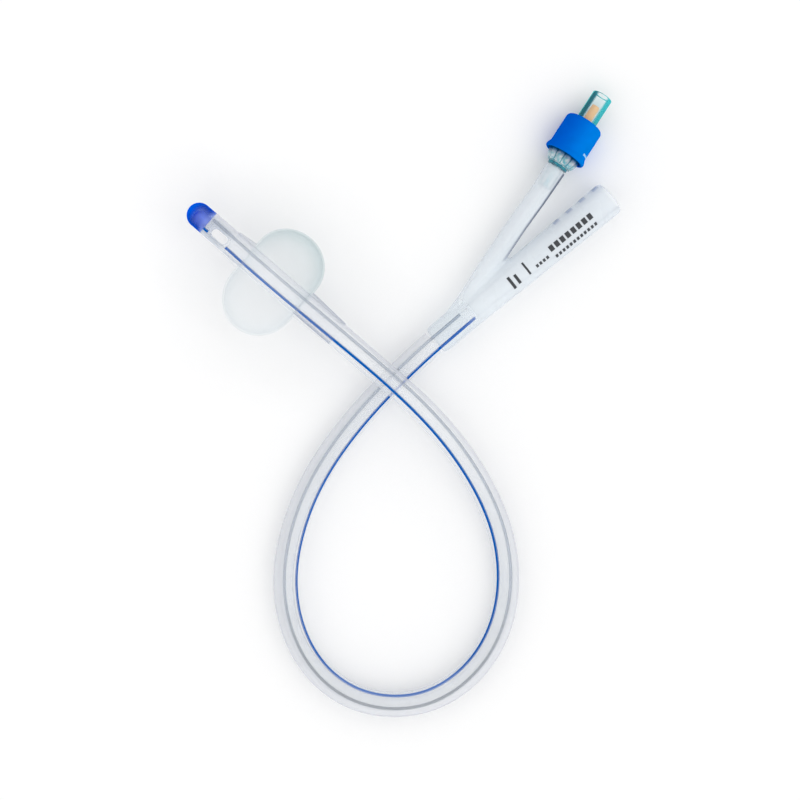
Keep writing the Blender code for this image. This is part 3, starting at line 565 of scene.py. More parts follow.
# Barium-filled silicone: a matt deep blue, paler round the loop's far end, where the tube's wall spreads it
stripe_blue, tree, where, surface = pigmented("blue barium-filled silicone", "005CB4", rough=0.5, gloss=0.0)
pale = from_to(tree, where, TO_LOOP_END, 92 * MM, 104 * MM, 0, 0.45)
colour = node(tree, "Mix", 2, COLOUR_MIX, Factor=pale, i6="005CB4", i7="8CA4DC")
tree.links.new(colour, surface.node.inputs["Base Color"])
node(tree, "OutputMaterial", Surface=surface)
print("made", stripe_blue.name)

# %% The line in the tube's wall
STRIPE_WIDTH, STRIPE_DEPTH, PROUD = 0.8 * MM, 0.5 * MM, 0.02 * MM

half = asin(STRIPE_WIDTH / 2 / SHAFT_R)
floor_y = SHAFT_R * cos(half) - STRIPE_DEPTH
rim = [on_section(SHAFT_R + PROUD, -half + 2 * half * i / 6) for i in range(7)]
stripe_section = [(-STRIPE_WIDTH / 2, floor_y), *rim, (STRIPE_WIDTH / 2, floor_y)]
half_eye = EYE_LENGTH / 2 + 0.3 * MM
for name, node_name, start, end in (
        ("stripe_at_tip", "xray_line_end", 0, EYE_AT - half_eye),
        ("stripe_long", "xray_line", EYE_AT + half_eye, shaft_length)):
    line, turns = stretch(start, end)
    mesh = to_mesh(swept(line, stripe_section, turns), name)
    as_object(name, mesh, stripe_blue, replaces=[node_name])

# %% [markdown]
# ## The tip
#
# The tip is dipped or moulded on in blue silicone, round so that it slides in. The drainage lumen ends
# blind in it. The outline of a cylinder with a half-round end is spun, and a smaller one is cut out of it
# for the bore. The pigment is thin enough for the bore to show as a paler core, while the dome is solid
# blue.

# %% Materials of the tip
# Blue pigmented silicone: deep blue along the sides and in the dome, fading to clear at the joint
tip_blue, tree, where, surface = pigmented("blue pigmented silicone", "0064F4", rough=0.3, gloss=0.0)
thin = from_to(tree, where, OUT_OF_TIP, 85.0 * MM, 87.4 * MM, 1, 0)
tint, edge_tint = (
    node(tree, "Mix", 2, COLOUR_MIX, Factor=thin, i6=blue, i7=clear)
    for blue, clear in (("C8D6FF", "F0F4FF"), ("002490", "B4C8F0")))
shader = see_through(
    tree, surface, cover=from_to(tree, where, OUT_OF_TIP, 89.0 * MM, 93.0 * MM, 0.1, 0.97),
    edge_cover=from_to(tree, where, OUT_OF_TIP, 85.0 * MM, 87.4 * MM, 0.3, 1), tint=tint,
    edge_tint=edge_tint, power=0.45, cover_power=1.6)
node(tree, "OutputMaterial", Surface=shader)
# The bore's wall scatters the light, so it looks pale through the blue
tip_core, tree, where, surface = pigmented("wall of the tip's bore", "E4E8FF", rough=0.4, gloss=0.2)
node(tree, "OutputMaterial", Surface=surface)
print("tip:", tip_blue.name, "and", tip_core.name)

# %% The tip's shape
TIP_LENGTH, TIP_BORE_DEPTH = 7.7 * MM, 5.2 * MM


def round_ended(start, end, radius, steps):
    """The outline of a rod with a half-round end."""
    middle = end - radius
    turns = [pi / 2 * i / steps for i in range(steps)]
    arc = [(middle + radius * sin(turn), radius * cos(turn)) for turn in turns]
    return [(start, 0), (start, radius), *arc, (end, 0)]


run = (tip_leg(0) - tip_leg(10 * MM)).normalized()
facing_out = run.to_track_quat("Y", "Z").to_matrix().to_4x4()
on_joint = Matrix.Translation(tip_leg(0)) @ facing_out
solid = turned(round_ended(0.02 * MM, TIP_LENGTH, SHAFT_R, 16), 48, on_joint)
middle = across_shaft(DRAIN_OFFSET, pi - FROM_INFLATION, 2 * MM, tip_leg(0))
bore = turned(round_ended(-1 * MM, TIP_BORE_DEPTH, DRAIN_R, 10), 32, Matrix.Translation(middle) @ facing_out)
tip_cap = as_object(
    "tip_cap", to_mesh(combine(solid, [bore], "DIFFERENCE", "tip"), "tip_cap"), [tip_blue, tip_core],
    replaces=["tip"])
print("tip:", len(tip_cap.data.polygons), "faces")

# %% [markdown]
# ## The balloon
#
# The balloon is a thin sleeve of dipped silicone, glued to the tube by a tapered cuff on each side. Filled,
# it swells out past its own necks. One outline of film and cuffs is spun about the tube. Then the belly
# leans over and flattens where it rests on the table, by moving each vertex more the further out it lies.

# %% Materials of the balloon


def filled_film():
    """Dipped film round clear water: a soft pale edge, greyer on one side by painted shade."""
    material, tree, where = new_material("dipped silicone film")
    # Painted shade: the edge greys towards +Y
    painted_grey_side = from_to(tree, where, (0, 1, 0), -28 * MM, -4 * MM, 0, 1)
    edge_tint = node(tree, "Mix", 2, COLOUR_MIX, Factor=painted_grey_side, i6="F9FBFC", i7="E9F0F1")
    surface = silicone_skin(tree, where, "FCFEFF", 0.22, uneven=0, swing=0)
    node(tree, "OutputMaterial", Surface=see_through(
        tree, surface, 0.06, 0.25, "FFFFFF", edge_tint, power=1.3, cover_power=4.0))
    return material


def bonded_cuff():
    """The film's ends, glued down on the tube: clear, with a painted shade line on the side away from the
    window.
    """
    material, tree, where = new_material("bonded silicone cuff")
    # Painted shade on the side away from the window, fading towards the tip
    side = turned_to(tree, (-0.772, 0.636, 0), 0.45, 0.85)
    fading = from_to(tree, where, OUT_OF_TIP, 55 * MM, 70 * MM, 1, 0.35)
    painted_shade = node(tree, "Math", 0, {"operation": "MULTIPLY"}, i0=side, i1=fading)
    colour = node(tree, "Mix", 2, COLOUR_MIX, Factor=painted_shade, i6="FAFCFF", i7="C4CCD6")
    tint = node(tree, "Mix", 2, COLOUR_MIX, Factor=painted_shade, i6="FFFFFF", i7="D0D4DE")
    surface = silicone_skin(tree, where, colour, 0.25, uneven=0, swing=0)
    node(tree, "OutputMaterial", Surface=see_through(tree, surface, 0.03, 0.25, tint, tint, power=1.5))
    return material


film_silicone, cuff_silicone = filled_film(), bonded_cuff()
print("balloon:", film_silicone.name, "and", cuff_silicone.name)

# %% The balloon's outline
ARC_R, ARC_OFFSET, FILM = 11.8 * MM, 6.65 * MM, 0.5 * MM
CUFF_WALL, CUFF_EDGE, CUFF_PROXIMAL, CUFF_SEAM = 0.75 * MM, 0.3 * MM, 14.2 * MM, 0.03 * MM
NECK_R = SHAFT_R + 0.3 * MM + CUFF_WALL
INNER_R = SHAFT_R + CUFF_SEAM


def belly_arc(radius, end_r):
    """The belly's outline from neck to neck: more than half of a circle beside the tube."""
    reach = asin((ARC_OFFSET - end_r) / radius)
    turns = [-reach + (pi + 2 * reach) * i / 48 for i in range(49)]
    return [(-radius * cos(turn), ARC_OFFSET + radius * sin(turn)) for turn in turns]


belly = belly_arc(ARC_R, NECK_R)
lining = belly_arc(ARC_R - FILM, INNER_R)[::-1]
start = EYE_AT + EYE_LENGTH / 2 + 0.4 * MM - TIP_TO_BALLOON
end = belly[-1][0] + CUFF_PROXIMAL
edge_r = INNER_R + CUFF_EDGE
balloon_outline = [(start, INNER_R), (start, edge_r), *belly, (end, edge_r), (end, INNER_R), *lining]
print(f"balloon {2 * (ARC_OFFSET + ARC_R) / MM:.1f} mm across, {(end - start) / MM:.1f} mm with its cuffs")

# %% The balloon on the tube
LEAN = 0.9 * MM

bm = turned(balloon_outline, 64)
middle = tip_leg(TIP_TO_BALLOON)
run = (tip_leg(TIP_TO_BALLOON + 10 * MM) - middle).normalized()
place = Matrix.Translation(middle) @ run.to_track_quat("Y", "Z").to_matrix().to_4x4()
for face in bm.faces:
    centre = face.calc_center_median()
    face.material_index = int(hypot(centre.x, centre.z) < NECK_R)
for vert in bm.verts:
    radius = hypot(vert.co.x, vert.co.z)
    share = max(radius - NECK_R, 0) / (ARC_OFFSET + ARC_R - NECK_R)
    inside = ARC_R - hypot(vert.co.y, radius - ARC_OFFSET) > FILM / 2
    vert.co.x += LEAN * share
    vert.co = place @ vert.co
    vert.co.z = max(vert.co.z, FILM if inside and share > 0 else 0.02 * MM)
balloon_skin = as_object(
    "balloon_skin", to_mesh(bm, "balloon_skin"), [film_silicone, cuff_silicone], replaces=["balloon"])
print("balloon:", len(balloon_skin.data.polygons), "faces")

# %% [markdown]
# ## The branch's rubber
#
# The branch is moulded over the end of the tube in one shot of the same silicone, thicker and so milkier
# than the tube. Painted shade draws a dark line along the right of the arm, and a pale blue-grey bar over
# each sealing ring in the funnel's bore. Near the collar it is as clear as the tube.

# %% Materials of the branch


def moulded_skin(name, painted_shade_side, painted_shade_tint, on_arm):
    """The branch's skin: milky, and greyer on one side by painted shade."""
    material, tree, where = new_material(name)
    painted_shade = turned_to(tree, painted_shade_side, 0.72, 0.92)
    if on_arm:
        for share in (
                from_to(tree, where, (0.99, 0.15, 0), -7.0 * MM, -5.5 * MM, 1, 0),
                from_to(tree, where, (0, 1, 0), 24 * MM, 66 * MM, 0.35, 1)):
            painted_shade = node(tree, "Math", 0, {"operation": "MULTIPLY"}, i0=painted_shade, i1=share)
    colour, tint, edge_tint = (
        node(tree, "Mix", 2, COLOUR_MIX, Factor=painted_shade, i6=plain, i7=painted_shade_tint)
        for plain in ("F6FAFE", "FCFEFF", "EEF2F6"))
    cover = from_to(tree, where, (0, 1, 0), 12 * MM, 25 * MM, 0.03, 0.42)
    surface = silicone_skin(tree, where, colour, 0.28, uneven=0, swing=0.214)
    node(tree, "OutputMaterial", Surface=see_through(tree, surface, cover, 0.4, tint, edge_tint))
    return material


# Painted shade: a grey line down the right of the arm, fading towards the junction
moulded_silicone = moulded_skin("moulded clear silicone", (0.954, 0.3, 0), "8C96A8", on_arm=True)
# Painted shade: a blue-grey bar over each sealing ring, on the side that faces -X
painted_ring_shade = moulded_skin("moulded clear silicone over the sealing rings", (-1, 0, 0), "CCD4E4", on_arm=False)
# Bores in the moulding: white and soft, grey only where they turn away
moulded_bore = clear_silicone(
    "wall of the moulded bores", "FFFFFF", rough=0.4, cover=0.0, edge_cover=0.3, tint="FFFFFF",
    edge_tint="98A8BC", power=4.0, zone=((0, 1, 0), 17 * MM, 25 * MM, 0.15, "FFFFFF"))
print("branch:", [m.name for m in (moulded_silicone, painted_ring_shade, moulded_bore)])

# %% [markdown]
# ## The branch
#
# One half of the branch is the funnel that takes the drainage bag's connector, in line with the tube. The
# other is the arm that carries the water to the balloon. In the mould the corner between them is a soft
# web. A Boolean would leave a hard corner, so funnel and arm are joined, remeshed in small voxels and
# smoothed, and the bores are cut out afterwards, so that they stay crisp.

# %% Where the valve sits
VALVE_PLACE = Vector((-24.8, 70.3, 7.197)) * MM
VALVE_ANGLE, VALVE_DIP = radians(107.5), radians(2.923)
VALVE_AT = Matrix.Translation(VALVE_PLACE) @ Matrix.Rotation(VALVE_ANGLE - pi / 2, 4, "Z") \
    @ Matrix.Rotation(-VALVE_DIP, 4, "X")
VALVE_RIGHT, VALVE_AXIS = (VALVE_AT.to_3x3() @ Vector(local) for local in ((1, 0, 0), (0, 1, 0)))
SPIGOT_R, SPIGOT_LENGTH = 2.2 * MM, 8.0 * MM
print("valve's axis:", [round(v, 4) for v in VALVE_AXIS])

# %% The funnel's outlines
SOCKET_DEPTH, FUNNEL_LENGTH, COLLAR_LENGTH = 14.5 * MM, 73.0 * MM, 16.0 * MM
SOCKET_R, COLLAR_R, COLLAR_LIP_R, MOUTH_R, MOUTH_BORE_R = [v * MM for v in (4.03, 4.9, 4.15, 5.75, 4.2)]
COLLAR_EDGE, MOUTH_EDGE = 2.4 * MM, 1.2 * MM
RING_COUNT, RING_PITCH, RING_FROM_MOUTH, RING_HEIGHT, RING_WIDTH = 4, 5.4 * MM, 3.4 * MM, 0.3 * MM, 1.2 * MM
BORE_STATIONS = [
    (SOCKET_DEPTH, 2.4 * MM), (SOCKET_DEPTH + 12 * MM, 2.6 * MM), (FUNNEL_LENGTH - 32 * MM, 3.5 * MM),
    (FUNNEL_LENGTH, MOUTH_BORE_R)]
ring_crests = [FUNNEL_LENGTH - RING_FROM_MOUTH - i * RING_PITCH for i in range(RING_COUNT)]


def bore_r(s):
    """Radius of the funnel's bore, by the distance from the collar's end."""
    return float(np.interp(s, *zip(*BORE_STATIONS)))


def rounded_end(end, radius, edge, steps):
    """An outline's outer corner as a quarter circle."""
    turns = [pi / 2 * i / steps for i in range(steps + 1)]
    return [(end - edge * (1 - sin(turn)), radius - edge * (1 - cos(turn))) for turn in turns]


def funnel_outline():
    """The collar's rounded lip, the straight collar, the taper and the rounded mouth."""
    turns, rise = [pi / 2 * i / 8 for i in range(9)], COLLAR_R - COLLAR_LIP_R
    lip = [(COLLAR_EDGE * (1 - cos(turn)), COLLAR_LIP_R + rise * sin(turn)) for turn in turns]
    mouth = rounded_end(FUNNEL_LENGTH, MOUTH_R, MOUTH_EDGE, 6)
    return [(0, 0), *lip, (COLLAR_LENGTH, COLLAR_R), *mouth, (FUNNEL_LENGTH, 0)]


def bore_outline():
    """The socket for the tube, the tapered bore and its sealing rings."""
    bottom, end = SOCKET_DEPTH + 0.03 * MM, FUNNEL_LENGTH + 1 * MM
    outline = [(-1 * MM, 0), (-1 * MM, SOCKET_R), (bottom, SOCKET_R), (bottom, bore_r(bottom))]
    outline += BORE_STATIONS[1:3]
    for crest in reversed(ring_crests):
        for k in range(7):
            place = crest + (k / 6 - 0.5) * RING_WIDTH
            outline.append((place, bore_r(place) - RING_HEIGHT * sin(pi * k / 6) ** 2))
    return [*outline, (end, MOUTH_BORE_R), (end, 0)]


print(len(ring_crests), "sealing rings, the last", f"{RING_FROM_MOUTH / MM:.1f} mm from the mouth")

# %% The arm's route
ARM_R, ARM_LUMEN_R, ARM_FLARE_R, ARM_END = 3.25 * MM, 0.75 * MM, 3.5 * MM, -1.3 * MM
# x and y in millimetres, and how much of the valve's height over the funnel's middle is reached
ARM_BEND = [(-7.4, 7.3, 0), (-8.7, 16.3, 0), (-12.5, 28.6, 0.1), (-15.8, 39.3, 0.35), (-18.8, 49.5, 0.7)]

arm_places = [(x * MM, y * MM, FUNNEL_Z + up * (VALVE_PLACE.z - FUNNEL_Z)) for x, y, up in ARM_BEND]
arm_places += [
    tuple(VALVE_AT @ Vector((0, -d, 0))) for d in (SPIGOT_LENGTH + 2 * MM, SPIGOT_LENGTH / 2, -ARM_END)]
arm_points, arm_along = smooth_route(arm_places, 48)
flare_from = arm_along[-1] - SPIGOT_LENGTH
flare = 1 + (ARM_FLARE_R / ARM_R - 1) * np.clip((arm_along - flare_from) / SPIGOT_LENGTH, 0, 1)
print(f"arm {arm_along[-1] / MM:.1f} mm")

# %% Funnel and arm in one skin
at_collar = Matrix.Translation((FUNNEL_X, COLLAR_Y, FUNNEL_Z))

arm = swept(arm_points, circle(ARM_R, 40), scales=flare)
joined = combine(turned(funnel_outline(), 64, at_collar), [arm], "UNION", "branch skin")
for face in joined.faces:
    face.material_index = 0
rough_skin = as_object("branch skin", to_mesh(joined, "branch skin"), None, body=None)
remesh = rough_skin.modifiers.new("one skin", "REMESH")
remesh.mode, remesh.voxel_size = "VOXEL", 0.45 * MM
soften = rough_skin.modifiers.new("soften", "SMOOTH")
soften.factor, soften.iterations = 0.5, 6
skin = evaluated(rough_skin)
bpy.data.objects.remove(rough_skin)
print("skin:", len(skin.faces), "faces")

# %% Cut the bores
in_tube = Vector((FUNNEL_X, SHAFT_END_Y - 3 * MM, FUNNEL_Z))
target = across_shaft(INFLATION_OFFSET, -FROM_INFLATION, shaft_length - 3 * MM, in_tube)
beside = Vector((FUNNEL_X - 4.3 * MM - 1.5 * MM, target.y + 4 * MM, target.z))
lumen_points, _ = smooth_route([target, beside, *arm_places[3:]], 40)
arm_lumen = swept(lumen_points, circle(ARM_LUMEN_R, 16))

socket_start, socket_end = (VALVE_AT @ Vector((0, d, 0)) for d in (-SPIGOT_LENGTH - 0.3 * MM, 1 * MM))
run, socket_r = socket_end - socket_start, SPIGOT_R + 0.03 * MM
upright = run.to_track_quat("Z", "Y").to_matrix().to_4x4()
socket = bmesh.new()
bmesh.ops.create_cone(
    socket, cap_ends=True, segments=32, radius1=socket_r, radius2=socket_r, depth=run.length,
    matrix=Matrix.Translation((socket_start + socket_end) / 2) @ upright)

branch_bm = combine(skin, [turned(bore_outline(), 64, at_collar), arm_lumen, socket], "DIFFERENCE", "branch")
SKIN, BORE, PAINTED_RING_SHADE, IN_SOCKET = 0, 1, 4, 5
# The camera sees a ring a little further out through the slanting wall
SHIFT = 0.8 * MM
for face in branch_bm.faces:
    centre = face.calc_center_median()
    beside_ring = min(abs(centre.y - SHIFT - COLLAR_Y - crest) for crest in ring_crests) < RING_WIDTH
    # Skin over a ring on the funnel takes the painted ring shade
    if face.material_index == SKIN and beside_ring and centre.x > FUNNEL_X - 6 * MM:
        face.material_index = PAINTED_RING_SHADE
    if face.material_index == BORE and centre.y < COLLAR_Y + SOCKET_DEPTH + 0.1 * MM:
        face.material_index = IN_SOCKET
branch = as_object(
    "branch", to_mesh(branch_bm, "branch", sharp=50),
    [moulded_silicone, moulded_bore, moulded_bore, moulded_bore, painted_ring_shade, bonded_seam],
    replaces=["bifurcation"])
print("branch:", len(branch.data.polygons), "faces")

# %% [markdown]
# ## The valve's plastics
#
# Barrel and base are injection-moulded polycarbonate with teal dye, out of polished moulds. Its index of
# refraction is 1.58. The dye shows where one looks along a wall, so the barrel is two teal bands beside a
# clear middle, and the thin lobes are pale beside the thick ring. Painted shade darkens the band away from
# the window, the grooves and the top under the skirt, and painted specks glitter in the lobes. The sleeve
# is polypropylene, the plunger acetal. Both are opaque and satin, with the faint grain of a spark-eroded
# mould. The sleeve gets painted light towards the window and a painted highlight in its vents.

# %% Clear teal


def polished(tree, where, colour):
    """Polycarbonate out of a polished mould: hard, and as glossy as glass."""
    rough = patchy(tree, where, 3 * MM, 0.03, 0.09)
    return node(tree, "BsdfPrincipled", Base_Color=colour, Roughness=rough, IOR=1.58)


def barrel_wall():
    """Teal dye where one looks along the thick wall, with painted shade darkest on the side away from the
    window.
    """
    material, tree, where = new_material("clear teal polycarbonate")
    facing = node(tree, "LayerWeight", "Facing", Blend=0.5)
    along_wall = node(tree, "MapRange", 0, EASED, Value=facing, From_Min=0.12, From_Max=0.28)
    rim = node(tree, "MapRange", 0, EASED, Value=facing, From_Min=0.55, From_Max=0.72)
    # Painted light on the side towards the window, painted shade on the other
    painted_light = turned_to(tree, VALVE_RIGHT, -0.3, 0.3)
    painted_shade_band = node(tree, "Mix", 2, COLOUR_MIX, Factor=rim, i6="3C8498", i7="90F0EC")
    band = node(tree, "Mix", 2, COLOUR_MIX, Factor=painted_light, i6=painted_shade_band, i7="84E6EA")
    tint = node(tree, "Mix", 2, COLOUR_MIX, Factor=along_wall, i6="FCFFFF", i7=band)
    cover = node(tree, "Math", 0, {"operation": "MULTIPLY"}, i0=along_wall, i1=0.2)
    clear = node(tree, "BsdfTransparent", Color=tint)
    shader = node(tree, "MixShader", i0=cover, i1=clear, i2=polished(tree, where, "48C8D0"))
    node(tree, "OutputMaterial", Surface=shader)
    return material


def base_plastic(name, colour, cover, edge_cover, tint, edge_tint, power, skirt_shadow_colour=None):
    """The base's teal: deeper in thick walls, with the blue skirt's shadow and reflection painted on its top.
    """
    material, tree, where = new_material(name)
    if skirt_shadow_colour:
        # Painted specks stand for the light that the lobes break up, drawn 1.2 mm wide
        painted_specks = patchy(tree, where, 1.2 * MM, -0.2, 1.0, detail=1.0)
        # Painted shadow and blue reflection of the skirt over the top of the crown
        painted_skirt_shadow = from_to(tree, where, VALVE_AXIS, 75.6 * MM, 77.6 * MM, 0, 1)
        tint = node(tree, "Mix", 2, COLOUR_MIX, Factor=painted_specks, i6=tint, i7=edge_tint)
        tint, edge_tint = (
            node(tree, "Mix", 2, COLOUR_MIX, Factor=painted_skirt_shadow, i6=plain, i7=skirt_shadow_colour)
            for plain in (tint, edge_tint))
        colour = node(tree, "Mix", 2, COLOUR_MIX, Factor=painted_specks, i6=colour, i7=edge_tint)
        colour = node(tree, "Mix", 2, COLOUR_MIX, Factor=painted_skirt_shadow, i6=colour, i7=skirt_shadow_colour)
    surface = polished(tree, where, colour)
    shader = see_through(tree, surface, cover, edge_cover, tint, edge_tint, power)
    node(tree, "OutputMaterial", Surface=shader)
    return material


barrel_plastic = barrel_wall()
# Nearly clear in the bores and the spigot
bore_plastic = base_plastic("clear teal polycarbonate, bore", "E8FAFF", 0.0, 0.3, "FFFFFF", "80D0D8", 4.0)
# Pale and glittering with painted specks in the thin lobes, a deeper teal in the ring, and painted shade in
# between in the grooves
crown_plastic = base_plastic(
    "clear teal polycarbonate, thin lobes", "F8FEFF", 0.6, 0.5, "FFFFFF", "80D0DC", 2.0, skirt_shadow_colour="0070A8")
deep_teal = base_plastic(
    "clear teal polycarbonate, thick ring", "28A8B8", 0.6, 0.7, "78D0DC", "107890", 1.0, skirt_shadow_colour="00588C")
painted_groove_shade = base_plastic(
    "clear teal polycarbonate, grooves", "90D4DC", 0.5, 0.5, "B0E4EA", "58B4C4", 1.0, skirt_shadow_colour="0068A0")
print("teal:", [m.name for m in (barrel_plastic, bore_plastic, crown_plastic, deep_teal, painted_groove_shade)])

# %% Opaque plastics


def satin_plastic(name, colour, rough, gloss, texture, painted_light=None):
    """Injection-moulded opaque plastic: satin, with painted light towards the window if a colour for that
    side is given.
    """
    material, tree, where = new_material(name)
    if painted_light:
        painted_lit_side = turned_to(tree, VALVE_RIGHT, -0.8, 0.9)
        colour = node(tree, "Mix", 2, COLOUR_MIX, Factor=painted_lit_side, i6=colour, i7=painted_light)
    dye = patchy(tree, where, 4 * MM, 0.95, 1.05)
    surface = node(
        tree, "BsdfPrincipled", Base_Color=node(tree, "HueSaturation", Value=dye, Color=colour),
        Roughness=patchy(tree, where, texture, rough * 0.85, rough * 1.15, detail=2.0), IOR=1.5,
        Specular_IOR_Level=gloss, Normal=skin_grain(tree, where, texture, 0.006 * MM))
    node(tree, "OutputMaterial", Surface=surface)
    return material


# Polypropylene: deep blue, paler towards the window by painted light, and a painted highlight on the vents'
# cut faces
sleeve_plastic = satin_plastic("blue moulded polypropylene", "005CD0", 0.5, 0.0, 0.12 * MM, painted_light="007CE0")
painted_vent_highlight = satin_plastic("blue moulded polypropylene, pale where cut", "B0DCFA", 0.5, 0.3, 0.12 * MM)
# Acetal: warm tan, slippery and slightly waxy
tan_plastic = satin_plastic("tan moulded acetal", "FFC898", 0.45, 0.4, 0.15 * MM)
print("opaque:", [m.name for m in (sleeve_plastic, painted_vent_highlight, tan_plastic)])

# %% [markdown]
# ## The valve's base
#
# The base plugs into the arm with a barbed spigot, and into the valve's drum with a hollow plug. Between
# them are a ring and a crown with ten lobes, which a thumb can grip. It is one moulding, so one outline is
# spun, and the lobes are pressed in by drawing the crown's vertices in towards the axis between them.

# %% Places along the valve
# Distances from the arm's end, out along the valve
RING_START, RING_END, CROWN_START, CROWN_END, DRUM_START = [v * MM for v in (-0.9, -0.2, 0.1, 4.9, 5.2)]
SPRING_FLOOR, GUIDE_END, HEAD_BACK, HEAD_TOP, PLUG_END = [v * MM for v in (6.6, 8.4, 12.4, 13.4, 13.0)]
SEAL_BACK, SEAL_TOP, SEAT, DRUM_END, SLEEVE_TOP = [v * MM for v in (13.7, 14.6, 14.9, 15.4, 16.3)]
PLUNGER_TOP, VALVE_LENGTH = 22.5 * MM, 26.5 * MM
PLUG_R, CHAMBER_R = 4.0 * MM, 3.0 * MM
print(f"valve {VALVE_LENGTH / MM:.1f} mm long")

# %% The base's shape
RING_R, CROWN_R, LOBES, LOBE_DEPTH = 3.45 * MM, 5.3 * MM, 10, 0.9 * MM


def base_outline():
    """Spigot with three barbs, ring, crown and hollow plug."""
    trough, neck = SPIGOT_R - 0.25 * MM, RING_R - 0.25 * MM
    crests = [-SPIGOT_LENGTH + (i + 1) * SPIGOT_LENGTH / 4 for i in range(3)]
    outline = [(-SPIGOT_LENGTH, ARM_LUMEN_R), (-SPIGOT_LENGTH, trough)]
    outline += [(crest, radius) for crest in crests for radius in (SPIGOT_R, trough)]
    outline.append((RING_START, trough))
    for i in range(9):
        turn = pi * i / 8
        middle, half_width = (RING_START + RING_END) / 2, (RING_END - RING_START) / 2
        outline.append((middle - half_width * cos(turn), neck + (RING_R - neck) * sin(turn) ** 0.5))
    outline.append((CROWN_START, neck))
    foot_r = neck + 0.3 * MM
    for i in range(9):
        share = i / 8
        bulge = sin(pi / 2 * min(0.2 + 1.4 * share, 1))
        outline.append((CROWN_START + (CROWN_END - CROWN_START) * share, foot_r + (CROWN_R - foot_r) * bulge))
    return outline + [
        (CROWN_END, PLUG_R), (PLUG_END, PLUG_R), (PLUG_END, CHAMBER_R), (SPRING_FLOOR, CHAMBER_R),
        (SPRING_FLOOR, ARM_LUMEN_R)]


def to_lobe(place):
    """1 in the middle of a lobe and 0 between two, by the turn about the axis."""
    return abs(cos(LOBES / 2 * np.arctan2(place.z, place.x)))


bm = turned(base_outline(), 12 * LOBES)
for vert in bm.verts:
    radius = hypot(vert.co.x, vert.co.z)
    if radius > PLUG_R + 0.2 * MM and vert.co.y > CROWN_START - 0.1 * MM:
        dip = LOBE_DEPTH * (1 - to_lobe(vert.co)) ** 0.8
        share = 1 - min(dip, radius - PLUG_R) / radius
        vert.co.x *= share
        vert.co.z *= share

LOBE, RING, GROOVE, BARE = 0, 1, 2, 3
for face in bm.faces:
    centre = face.calc_center_median()
    radius = hypot(centre.x, centre.z)
    on_crown = CROWN_START - 0.1 * MM < centre.y < CROWN_END and radius > PLUG_R - 0.5 * MM
    if radius > SPIGOT_R and centre.y < RING_END + 0.1 * MM:
        face.material_index = RING
    elif on_crown and to_lobe(centre) < 0.25:
        face.material_index = GROOVE
    else:
        face.material_index = BARE if centre.y < RING_START else LOBE
bm.transform(VALVE_AT)
valve_base = as_object(
    "valve_moulding", to_mesh(bm, "valve_moulding"), [crown_plastic, deep_teal, painted_groove_shade, bore_plastic],
    replaces=["valve_base"])
print("base:", len(valve_base.data.polygons), "faces")

# %% [markdown]
# ## The barrel
#
# The barrel takes the syringe's tip in a bore with the standard 6 % taper, and its drum snaps over the
# base's plug. Inside, the step between bore and drum is the seat that the seal closes. It is one spun
# outline. The faces of the bore get the clearer finish, by their distance from the axis.

# %% The barrel's shape
DRUM_R, BARREL_R, BARREL_BORE_R, SEAT_BORE_R = 5.4 * MM, 3.4 * MM, 2.15 * MM, 1.79 * MM
BORE_CHAMFER = 0.15 * MM

outline = [
    (DRUM_START, PLUG_R + 0.3 * MM), (DRUM_START, DRUM_R), *rounded_end(DRUM_END, DRUM_R, 0.55 * MM, 4),
    (DRUM_END, BARREL_R), *rounded_end(VALVE_LENGTH, BARREL_R, 0.3 * MM, 4),
    (VALVE_LENGTH, BARREL_BORE_R + BORE_CHAMFER), (VALVE_LENGTH - BORE_CHAMFER, BARREL_BORE_R),
    (SEAT, SEAT_BORE_R), (SEAT, PLUG_R + 0.3 * MM)]
bm = turned(outline, 64)
for face in bm.faces:
    centre = face.calc_center_median()
    face.material_index = int(hypot(centre.x, centre.z) < BARREL_BORE_R + 0.2 * MM)
bm.transform(VALVE_AT)
valve_barrel = as_object(
    "valve_barrel", to_mesh(bm, "valve_barrel"), [barrel_plastic, bore_plastic], replaces=["valve_body"])
print("barrel:", len(valve_barrel.data.polygons), "faces")

# %% [markdown]
# ## The sleeve
#
# The blue sleeve slips over the drum and locks the halves of the valve together. Below it flares into a
# skirt, and a vent slot breaks each side. The outline is spun as a thin shell, and two tilted blocks cut
# the slots.

# %% The sleeve's shape
SLEEVE_R, SKIRT_R, SKIRT_LIP_R = 6.4 * MM, 7.0 * MM, 6.65 * MM
SKIRT_START, SKIRT_REST, SKIRT_END = 3.4 * MM, 4.05 * MM, 6.0 * MM
SLOT_WIDTH, SLOT_LENGTH, SLOT_DEPTH, SLOT_TURN = 0.7 * MM, 6 * MM, 0.4 * MM, radians(19)


def sleeve_outline():
    """The skirt's rounded lip and flare, the rounded top, and the drum's room inside."""
    inner, hole, top = DRUM_R + 0.3 * MM, BARREL_R + 0.1 * MM, DRUM_END + 0.3 * MM
    outline = [(SKIRT_START, SKIRT_R - 0.8 * MM)]
    for i in range(6):
        turn = pi / 2 * i / 5
        outline.append((
            SKIRT_REST - (SKIRT_REST - SKIRT_START) * cos(turn),
            SKIRT_R - (SKIRT_R - SKIRT_LIP_R) * (1 - sin(turn))))
    for i in range(1, 9):
        share = i / 8
        outline.append((
            SKIRT_REST + (SKIRT_END - SKIRT_REST) * share,
            SKIRT_R - (SKIRT_R - SLEEVE_R) * (0.5 - 0.5 * cos(pi * share))))
    outline += rounded_end(SLEEVE_TOP, SLEEVE_R, 1.5 * MM, 8)
    return outline + [
        (SLEEVE_TOP, hole), (top, hole), (top, DRUM_R - 0.55 * MM), (DRUM_END - 0.25 * MM, inner),
        (SKIRT_END, inner)]


